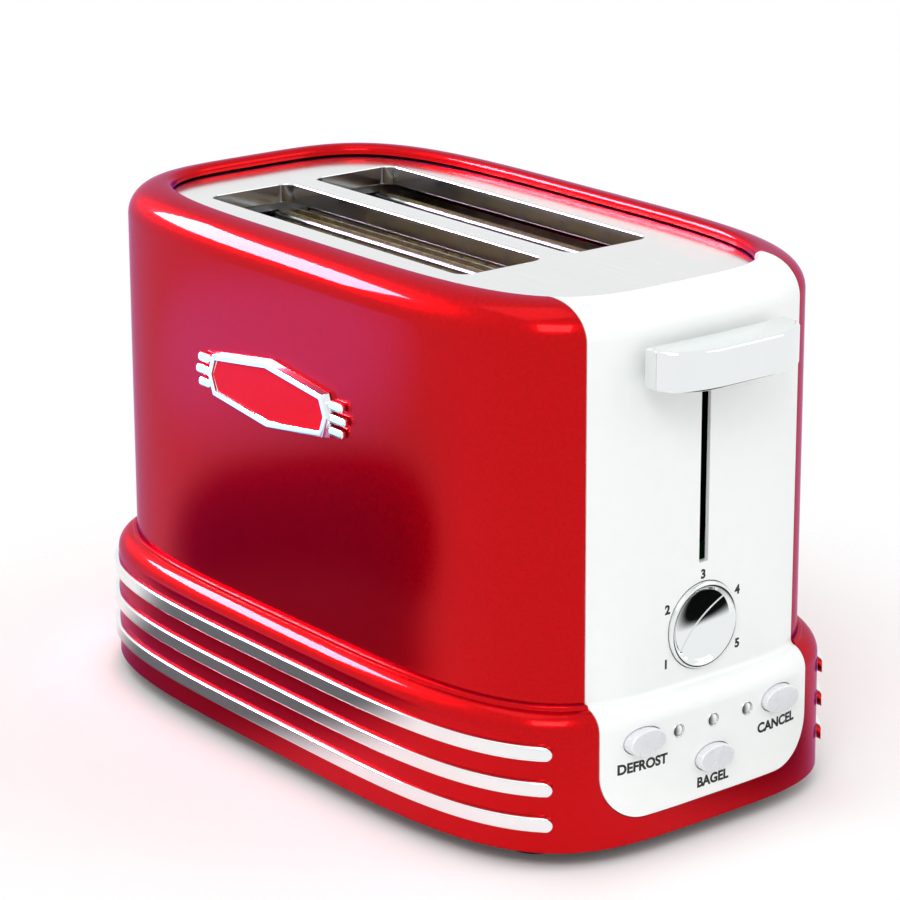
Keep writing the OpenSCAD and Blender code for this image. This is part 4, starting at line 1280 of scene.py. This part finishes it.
@dataclass
class BrowningKnob:
    """The bright round knob: a bowl inside a sloping rim, with a thin crest across it as a pointer.

    The profiles give how far each point is in from the radius, and out from the back or below the face.
    """

    radius: float = 15.0
    back_profile: tuple[Point, ...] = ((1.2, 0.0), (0.4, 0.4), (0.0, 1.2))
    face_profile: tuple[Point, ...] = (
        (0.0, 1.0), (0.1, 0.6), (0.35, 0.25), (0.7, 0.05), (1.1, 0.0), (1.5, 0.1), (2.0, 0.45))
    rim_drop: float = 1.3
    bowl_r: float = 12.0
    bowl_lip: Point = (0.15, 0.06)
    bowl_depth: float = 2.0
    bowl_rings: int = 16
    hub_r: float = 0.05
    crest_w: float = 0.8
    crest_h: float = 0.35
    crest_fit: float = 0.1
    z: float = 73.7
    pointer: float = 50.0
    steps: int = 144

    def turned(self, name: str, outer: Sequence[Point], edge: float) -> Piece:
        """Turns a disc with a bowl in its face.

        Args:
            name: Name of the piece.
            outer: Radius and place of the rings outside the bowl.
            edge: Place of the bowl's edge.

        Returns:
            The mesh object.
        """
        path = list(outer)
        for i in range(self.bowl_rings):
            share = 1 - i / self.bowl_rings
            path.append((self.bowl_r * share, edge - self.bowl_depth * (1 - share * share)))
        path.append((self.hub_r, edge - self.bowl_depth))
        return lathe(name, path, self.steps, Axis.FRONT, Vector((0, 0, self.z)))

    def build(self) -> Piece:
        """Turns the rim and the bowl, then adds the crest that follows the bowl.

        Returns:
            The mesh object.
        """
        low, high = (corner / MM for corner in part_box("browning_knob"))
        back, face = -high.y, -low.y
        edge = face - self.rim_drop
        rim = [(self.radius - inward, back + out) for inward, out in self.back_profile]
        rim += [(self.radius - inward, face - below) for inward, below in self.face_profile]
        rim.append((self.bowl_r + self.bowl_lip[0], edge + self.bowl_lip[1]))
        knob = self.turned("knob_dish", rim, edge)
        turn = Matrix.Rotation(math.radians(90 - self.pointer), 2)
        x, y = self.bowl_r - self.crest_fit, self.crest_w / 2
        bar = [tuple(turn @ Vector(corner)) for corner in rectangle((-x, -y), (x, y))]
        crest = prism("crest", bar, back, face, Axis.FRONT, Vector((0, 0, self.z)))
        form = self.turned("crest_form", [(self.bowl_r, back + self.crest_fit)], edge + self.crest_h)
        cut(crest, form, Cut.KEEP)
        cut(knob, crest, Cut.ADD)
        smooth(knob, angle=26)
        return knob

    def dress(self) -> None:
        """Builds the knob in chrome."""
        dress(self.build(), CHROME, "knob", "chrome_parts", "browning_knob")


@dataclass
class PushButtons:
    """Three oval buttons, each with a flange behind the panel and a stem."""

    half_w: float = 7.65
    half_h: float = 4.6
    depth: float = 9.0
    flange_grow: float = 1.5
    flange_t: float = 1.2
    stem_r: float = 2.5
    crown: float = 0.15
    crown_rings: tuple[float, ...] = (1.0, 0.8, 0.6, 0.4, 0.2, 0.02)
    round_edge: float = 0.55
    round_steps: int = 8
    steps: int = 72

    def build(self, name: str, at: Point) -> Piece:
        """Draws a button out from its stem to its crowned face.

        Args:
            name: Name of the node that it replaces.
            at: Its x and z.

        Returns:
            The mesh object.
        """
        low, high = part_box(name)
        face, stem_end = -low.y / MM, -high.y / MM
        shelf = face - self.depth
        back = shelf - self.flange_t
        w, h, g = self.half_w, self.half_h, self.flange_grow
        rings = [Ring(self.stem_r, self.stem_r, stem_end), Ring(self.stem_r, self.stem_r, back),
                 Ring(w + g, h + g, back), Ring(w + g, h + g, shelf), Ring(w, h, shelf)]
        edge = face - self.crown - self.round_edge
        rounding = arc((-self.round_edge, 0), self.round_edge, 0, 90, self.round_steps)[:-1]
        rings += [Ring(w + du, h + du, edge + dv) for du, dv in rounding]
        top_w, top_h = w - self.round_edge, h - self.round_edge
        rings += [Ring(top_w * k, top_h * k, face - self.crown * k * k) for k in self.crown_rings]
        centre = Vector((at[0], 0, at[1]))
        button = loft(name.replace("_button", "_key"), circle(self.steps), rings, Axis.FRONT, centre)
        smooth(button, angle=40)
        return button

    def dress(self, places: Sequence[Point]) -> None:
        """Builds the three buttons at their x and z."""
        for name, at in zip(("defrost", "bagel", "cancel"), places):
            dress(self.build(name + "_button", at), BUTTON, name, "button_plastic", name + "_button")


@dataclass
class IndicatorLenses:
    """Three small domed lenses, each in a thin bright ring on the panel."""

    radius: float = 1.95
    dome: float = 1.3
    dome_end: float = 89.0
    dome_steps: int = 8
    steps: int = 40
    ring_r: float = 2.45
    ring_h: float = 0.3
    ring_fit: float = 0.05
    ring_sides: int = 12
    ring_steps: int = 48

    def lens(self, name: str, at: Point) -> Piece:
        """Draws a lens out to its dome.

        Args:
            name: Name of the node that it replaces.
            at: Its x and z.

        Returns:
            The mesh object.
        """
        low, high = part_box(name)
        face, back = -low.y / MM, -high.y / MM
        path = [(self.radius, back), (self.radius, face - self.dome)]
        for i in range(1, self.dome_steps + 1):
            turn = math.radians(self.dome_end * i / self.dome_steps)
            path.append((self.radius * math.cos(turn), face - self.dome + self.dome * math.sin(turn)))
        lens = lathe(name + "_dome", path, self.steps, Axis.FRONT, Vector((at[0], 0, at[1])))
        smooth(lens, angle=40)
        return lens

    def ring(self, name: str, at: Point, face: float) -> Piece:
        """Draws the thin ring round a lens.

        Args:
            name: Name of the lens's node.
            at: Its x and z.
            face: y of the panel there.

        Returns:
            The mesh object.
        """
        mid = (self.radius + self.ring_r) / 2 + self.ring_fit
        half = (self.ring_r - self.radius) / 2
        path = [(mid + half * u, v * self.ring_h - face) for u, v in circle(self.ring_sides)]
        centre = Vector((at[0], 0, at[1]))
        ring = lathe(name + "_ring", path, self.ring_steps, Axis.FRONT, centre, Ends.LOOPED)
        smooth(ring, angle=60)
        return ring

    def dress(self, panel: FrontPanel) -> None:
        """Builds the lenses and their rings on the panel.

        Args:
            panel: The panel that they are set in.
        """
        for name, at in zip(("lens_left", "lens_middle", "lens_right"), panel.lens_places()):
            dress(self.lens(name, at), LENS, "chassis", "clear_lens", name)
            dress(self.ring(name, at, panel.front(*at)), CHROME, "chassis", "chrome_parts")


@dataclass
class PanelPrint:
    """The printed numbers round the knob and the words under the buttons."""

    digit_size: float = 4.3
    word_size: float = 4.8
    proud: float = 0.03
    bold: float = 0.18
    curve_steps: int = 6
    numbers: tuple[tuple[str, float, float], ...] = (
        ("1", -16.0, 63.2), ("2", -15.6, 82.2), ("3", 0.0, 91.2), ("4", 15.6, 82.2), ("5", 16.0, 63.2))
    words: tuple[tuple[str, float, float], ...] = (
        ("DEFROST", -30.3, 33.3), ("BAGEL", 0.2, 20.6), ("CANCEL", 29.9, 32.8))

    def build(self, text: str, at: Point, size: float, panel: FrontPanel) -> Piece:
        """Sets a word flat and lays it on the panel's face.

        Args:
            text: The word or number.
            at: Its middle, x and z.
            size: Size of the letters.
            panel: The panel that it is printed on.

        Returns:
            The mesh object.
        """
        deselect()
        bpy.ops.object.text_add()
        mark = bpy.context.object
        mark.name = "print_" + text.lower()
        mark.data.body = text
        mark.data.size = size
        mark.data.align_x = "CENTER"
        mark.data.align_y = "CENTER"
        mark.data.offset = self.bold
        mark.data.extrude = self.proud
        mark.data.resolution_u = self.curve_steps
        bpy.ops.object.convert(target="MESH")
        for vertex in mark.data.vertices:
            x, z = at[0] + vertex.co.x, at[1] + vertex.co.y
            vertex.co = Vector((x, panel.front(x, z) - self.proud - vertex.co.z, z)) * MM
        return mark

    def dress(self, panel: FrontPanel) -> None:
        """Prints the numbers and words in black.

        Args:
            panel: The panel that they are printed on.
        """
        for marks, size in ((self.numbers, self.digit_size), (self.words, self.word_size)):
            for text, x, z in marks:
                dress(self.build(text, (x, z), size, panel), INK, "chassis", "black_plastic")


@dataclass
class Feet:
    """Four rubber feet, each with a recess for its screw."""

    radius: float = 11.0
    height: float = 6.4
    recess_r: float = 4.2
    recess_h: float = 3.0
    hole_r: float = 2.2
    round_edge: float = 1.0
    round_steps: int = 5
    steps: int = 48

    def build(self, node: str) -> Piece:
        """Turns one foot where its node stands.

        Args:
            node: Name of the node that it replaces.

        Returns:
            The mesh object.
        """
        low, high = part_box(node)
        centre = Vector(((low.x + high.x) / 2, (low.y + high.y) / 2, 0)) / MM
        e = self.round_edge
        path = arc((self.radius - e, e), e, -90, 0, self.round_steps)
        path += arc((self.radius - e, self.height - e), e, 0, 90, self.round_steps)
        path += [(self.hole_r, self.height), (self.hole_r, self.recess_h), (self.recess_r, self.recess_h)]
        path.append((self.recess_r, 0.0))
        foot = lathe(node.replace("foot_", "pad_"), path, self.steps, Axis.UP, centre, Ends.LOOPED)
        smooth(foot)
        return foot

    def dress(self) -> None:
        """Builds the four feet in rubber."""
        for end in ("front_left", "front_right", "rear_left", "rear_right"):
            dress(self.build("foot_" + end), RUBBER, "chassis", "foot_rubber", "foot_" + end)


@dataclass
class RearFittings:
    """The crumb tray's pull and the gland for the cord.

    The flange's profile gives how far in from its radius and how far out from its seat each point is.
    """

    scoop_r: float = 12.0
    scoop_h: float = 3.6
    scoop_reach: float = 60.0
    pull_end: float = 3.0
    pull_edge: float = 0.5
    pull_steps: int = 40
    bore: float = 3.6
    neck_r: float = 5.4
    chamfer: float = 0.4
    flange_r: float = 8.0
    flange_t: float = 2.6
    flange_profile: tuple[Point, ...] = (
        (0.3, 0.0), (0.0, 0.3), (0.0, 0.9), (0.4, 1.5), (1.2, 2.0), (2.4, 2.5), (3.2, 2.6))
    steps: int = 64

    def pull(self) -> Piece:
        """Draws the pull along the skirt's curve and scoops a finger hold under it.

        Returns:
            The mesh object.
        """
        low, high = (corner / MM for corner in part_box("tray_pull"))
        outline = [(high.x, low.y), (low.x, low.y)]
        skirt = BASE.at(high.z)
        for i in range(self.pull_steps + 1):
            x = low.x + (high.x - low.x) * i / self.pull_steps
            outline.append((x, 2 * PLAN.centre_y - PLAN.front(skirt, x)))
        pull = prism("tray_handle", outline[::-1], low.z, high.z, Axis.UP)
        middle = Vector((0, 0, low.z + self.scoop_h - self.scoop_r))
        start = low.y + self.pull_end
        scoop = [(self.scoop_r, start), (self.scoop_r, start + self.scoop_reach)]
        cut(pull, lathe("scoop", scoop, self.steps, Axis.REAR, middle))
        soften(pull, self.pull_edge)
        return pull

    def gland(self) -> Piece:
        """Turns the gland: a neck through the wall, a domed flange and the cord's hole.

        Returns:
            The mesh object.
        """
        low, high = (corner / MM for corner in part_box("cord_gland"))
        front, rear, c = low.y, high.y, self.chamfer
        seat = rear - self.flange_t
        path = [(self.bore, front), (self.neck_r - c, front), (self.neck_r, front + c), (self.neck_r, seat)]
        path += [(self.flange_r - inward, seat + out) for inward, out in self.flange_profile]
        path += [(self.bore + c, rear), (self.bore, rear - c)]
        centre = Vector((0, 0, (low.z + high.z) / 2))
        gland = lathe("cord_bush", path, self.steps, Axis.REAR, centre, Ends.LOOPED)
        smooth(gland, angle=40)
        return gland

    def dress(self) -> None:
        """Builds both in black nylon."""
        dress(self.pull(), NYLON, "tray", "black_plastic", "tray_pull")
        dress(self.gland(), NYLON, "chassis", "black_plastic", "cord_gland")


def dress_cad(nodes: dict[str, Piece]) -> None:
    """Gives the nodes that keep their own shape their finishes.

    Args:
        nodes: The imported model's nodes.
    """
    for finish, names in CAD_FINISHES.items():
        for name in names:
            for place in nodes[name].material_slots:
                place.material = finish.material()
        LOG.info("%s: %d nodes", finish.name, len(names))


# The studio


@dataclass(frozen=True)
class Softbox:
    """One lamp of the studio; one that does not light is there for its reflection only."""

    name: str
    place: Point3
    size: Point
    power: float
    colour: Point3 = (1.0, 1.0, 1.0)
    lights: bool = True
    aim: Point3 = (0.0, 0.0, 0.1)

    def build(self) -> None:
        """Hangs the lamp and turns it to its aim."""
        lamp = bpy.data.lights.new(self.name, "AREA")
        lamp.shape = "RECTANGLE"
        lamp.size, lamp.size_y = self.size
        lamp.energy = self.power
        lamp.color = self.colour
        hung = bpy.data.objects.new(self.name, lamp)
        bpy.context.scene.collection.objects.link(hung)
        hung.visible_diffuse = self.lights
        hung.location = self.place
        hung.rotation_euler = (Vector(self.aim) - Vector(self.place)).to_track_quat("-Z", "Y").to_euler()


@dataclass(frozen=True)
class Flag:
    """A round place on the floor that only reflections see, as a black or a lit card in a studio."""

    place: Point3
    inner: float
    outer: float
    colour: str
    glow: float = 0.0

    def shade(self, tree: Tree) -> Node:
        """Gives the card's own shader.

        Args:
            tree: The floor's node tree.

        Returns:
            A glowing or a plain shader.
        """
        if self.glow:
            return add_node(tree, "ShaderNodeEmission", {"Color": linear(self.colour), "Strength": self.glow})
        return add_node(tree, "ShaderNodeBsdfDiffuse", {"Color": linear(self.colour)})


@dataclass
class Studio:
    """A pale floor, a white surround, soft lamps and the camera of the photograph."""

    floor_half: float = 3.0
    floor_clear: float = 0.3
    azimuth: float = -38.402
    elevation: float = 17.629
    roll: float = -0.21
    distance_mm: float = 1151.465
    focal_px: float = 3217.008
    image_px: float = 900.0
    sensor_mm: float = 36.0
    clip_m: float = 20.0
    target_mm: Point3 = (-1.688, 4.3606, 101.931)
    surround: float = 0.82
    boxes: tuple[Softbox, ...] = (
        Softbox("key_softbox", (-0.75, -0.75, 1.05), (0.7, 0.5), 5.4),
        Softbox("top_softbox", (-0.25, 0.1, 1.4), (0.8, 0.8), 1.4),
        Softbox("fill_softbox", (0.9, -1.0, 0.8), (0.8, 0.8), 2.6),
        Softbox("rim_softbox", (-0.5, 1.0, 0.7), (0.6, 0.36), 58.0, (1.0, 0.66, 0.95), False),
    )
    flags: tuple[Flag, ...] = (
        Flag((-0.4, 0.46, 0.0), 0.06, 0.24, "#7BA2FF", 5.0),
        Flag((-0.25, 0.19, 0.0), 0.09, 0.15, "#120E0C"),
        Flag((-0.145, 0.1, 0.0), 0.06, 0.12, "#6A7072"),
        Flag((0.085, -0.21, 0.0), 0.05, 0.11, "#0C0E0E"),
    )

    def camera(self) -> None:
        """Places the camera at the photograph's angle."""
        az, el = math.radians(self.azimuth), math.radians(self.elevation)
        back = Vector((math.sin(az) * math.cos(el), -math.cos(az) * math.cos(el), math.sin(el)))
        right = Vector((math.cos(az), math.sin(az), 0))
        turn = Matrix((right, back.cross(right), back)).transposed()
        lens = bpy.data.cameras.new("camera")
        lens.sensor_width = self.sensor_mm
        lens.lens = self.sensor_mm * self.focal_px / self.image_px
        lens.clip_end = self.clip_m
        camera = bpy.data.objects.new("camera", lens)
        bpy.context.scene.collection.objects.link(camera)
        place = (Vector(self.target_mm) + back * self.distance_mm) * MM
        turned = turn @ Matrix.Rotation(math.radians(self.roll), 3, "Z")
        camera.matrix_world = Matrix.Translation(place) @ turned.to_4x4()
        bpy.context.scene.camera = camera

    def floor(self) -> None:
        """Lays the pale floor."""
        deselect()
        bpy.ops.mesh.primitive_plane_add(size=2 * self.floor_half)
        floor = bpy.context.object
        floor.name = "floor"
        paint = Finish("pale_floor", "#FBFBFB", "#FCFCFC", roughness=0.9, specular=0.0, pattern_mm=40.0)
        made = paint.material()
        self.fade(made.node_tree)
        floor.data.materials.append(made)

    def fade(self, tree: Tree) -> None:
        """Lets the floor fade out into the surround, and lays the cards on it in reflections.

        Args:
            tree: The floor's node tree.
        """
        coordinates = add_node(tree, "ShaderNodeTexCoord").outputs["Object"]
        distance = add_node(tree, "ShaderNodeVectorMath", {0: coordinates}, operation="LENGTH")
        gone = soft_step(tree, distance.outputs["Value"], self.floor_clear / 2, self.floor_clear)
        clear = add_node(tree, "ShaderNodeBsdfTransparent").outputs[0]
        last = mix_shaders(tree, gone, tree.nodes["Principled BSDF"].outputs[0], clear)
        glossy = add_node(tree, "ShaderNodeLightPath").outputs["Is Glossy Ray"]
        for flag in self.flags:
            away = add_node(tree, "ShaderNodeVectorMath", {0: coordinates, 1: flag.place},
                            operation="DISTANCE")
            share = soft_step(tree, away.outputs["Value"], flag.outer, flag.inner)
            part = add_node(tree, "ShaderNodeMath", {0: share, 1: glossy}, operation="MULTIPLY")
            last = mix_shaders(tree, part.outputs[0], last, flag.shade(tree).outputs[0])
        tree.links.new(last, tree.nodes["Material Output"].inputs[0])

    def world(self) -> None:
        """Makes the surround white to the eye and in reflections, and soft as a light."""
        world = bpy.data.worlds.new("surround")
        bpy.context.scene.world = world
        world.use_nodes = True
        tree = world.node_tree
        path = add_node(tree, "ShaderNodeLightPath")
        seen = path.outputs["Is Camera Ray"]
        for ray in ("Is Glossy Ray", "Is Transmission Ray"):
            either = add_node(tree, "ShaderNodeMath", {0: seen, 1: path.outputs[ray]}, operation="MAXIMUM")
            seen = either.outputs[0]
        strength = add_node(tree, "ShaderNodeMapRange", {
            "Value": seen, "To Min": self.surround, "To Max": 1.0,
        })
        background = tree.nodes["Background"]
        background.inputs["Color"].default_value = (1, 1, 1, 1)
        tree.links.new(strength.outputs[0], background.inputs["Strength"])

    def build(self) -> None:
        """Sets up the whole studio."""
        bpy.context.scene.view_settings.view_transform = "Standard"
        self.camera()
        self.floor()
        self.world()
        for box in self.boxes:
            box.build()


def main() -> None:
    """Builds and dresses the toaster in order."""
    logging.basicConfig(level=logging.INFO, format="%(message)s")
    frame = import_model()
    panel = FrontPanel()
    BodyShell().dress()
    BaseSkirt().dress(panel.outline(panel.seam))
    panel.dress()
    TopPlate().dress()
    TrimBands().dress()
    Badge().dress()
    Lever().dress()
    BrowningKnob().dress()
    PushButtons().dress(panel.button_places())
    IndicatorLenses().dress(panel)
    PanelPrint().dress(panel)
    Feet().dress()
    RearFittings().dress()
    dress_cad(frame["nodes"])
    Studio().build()


if __name__ == "__main__":
    main()
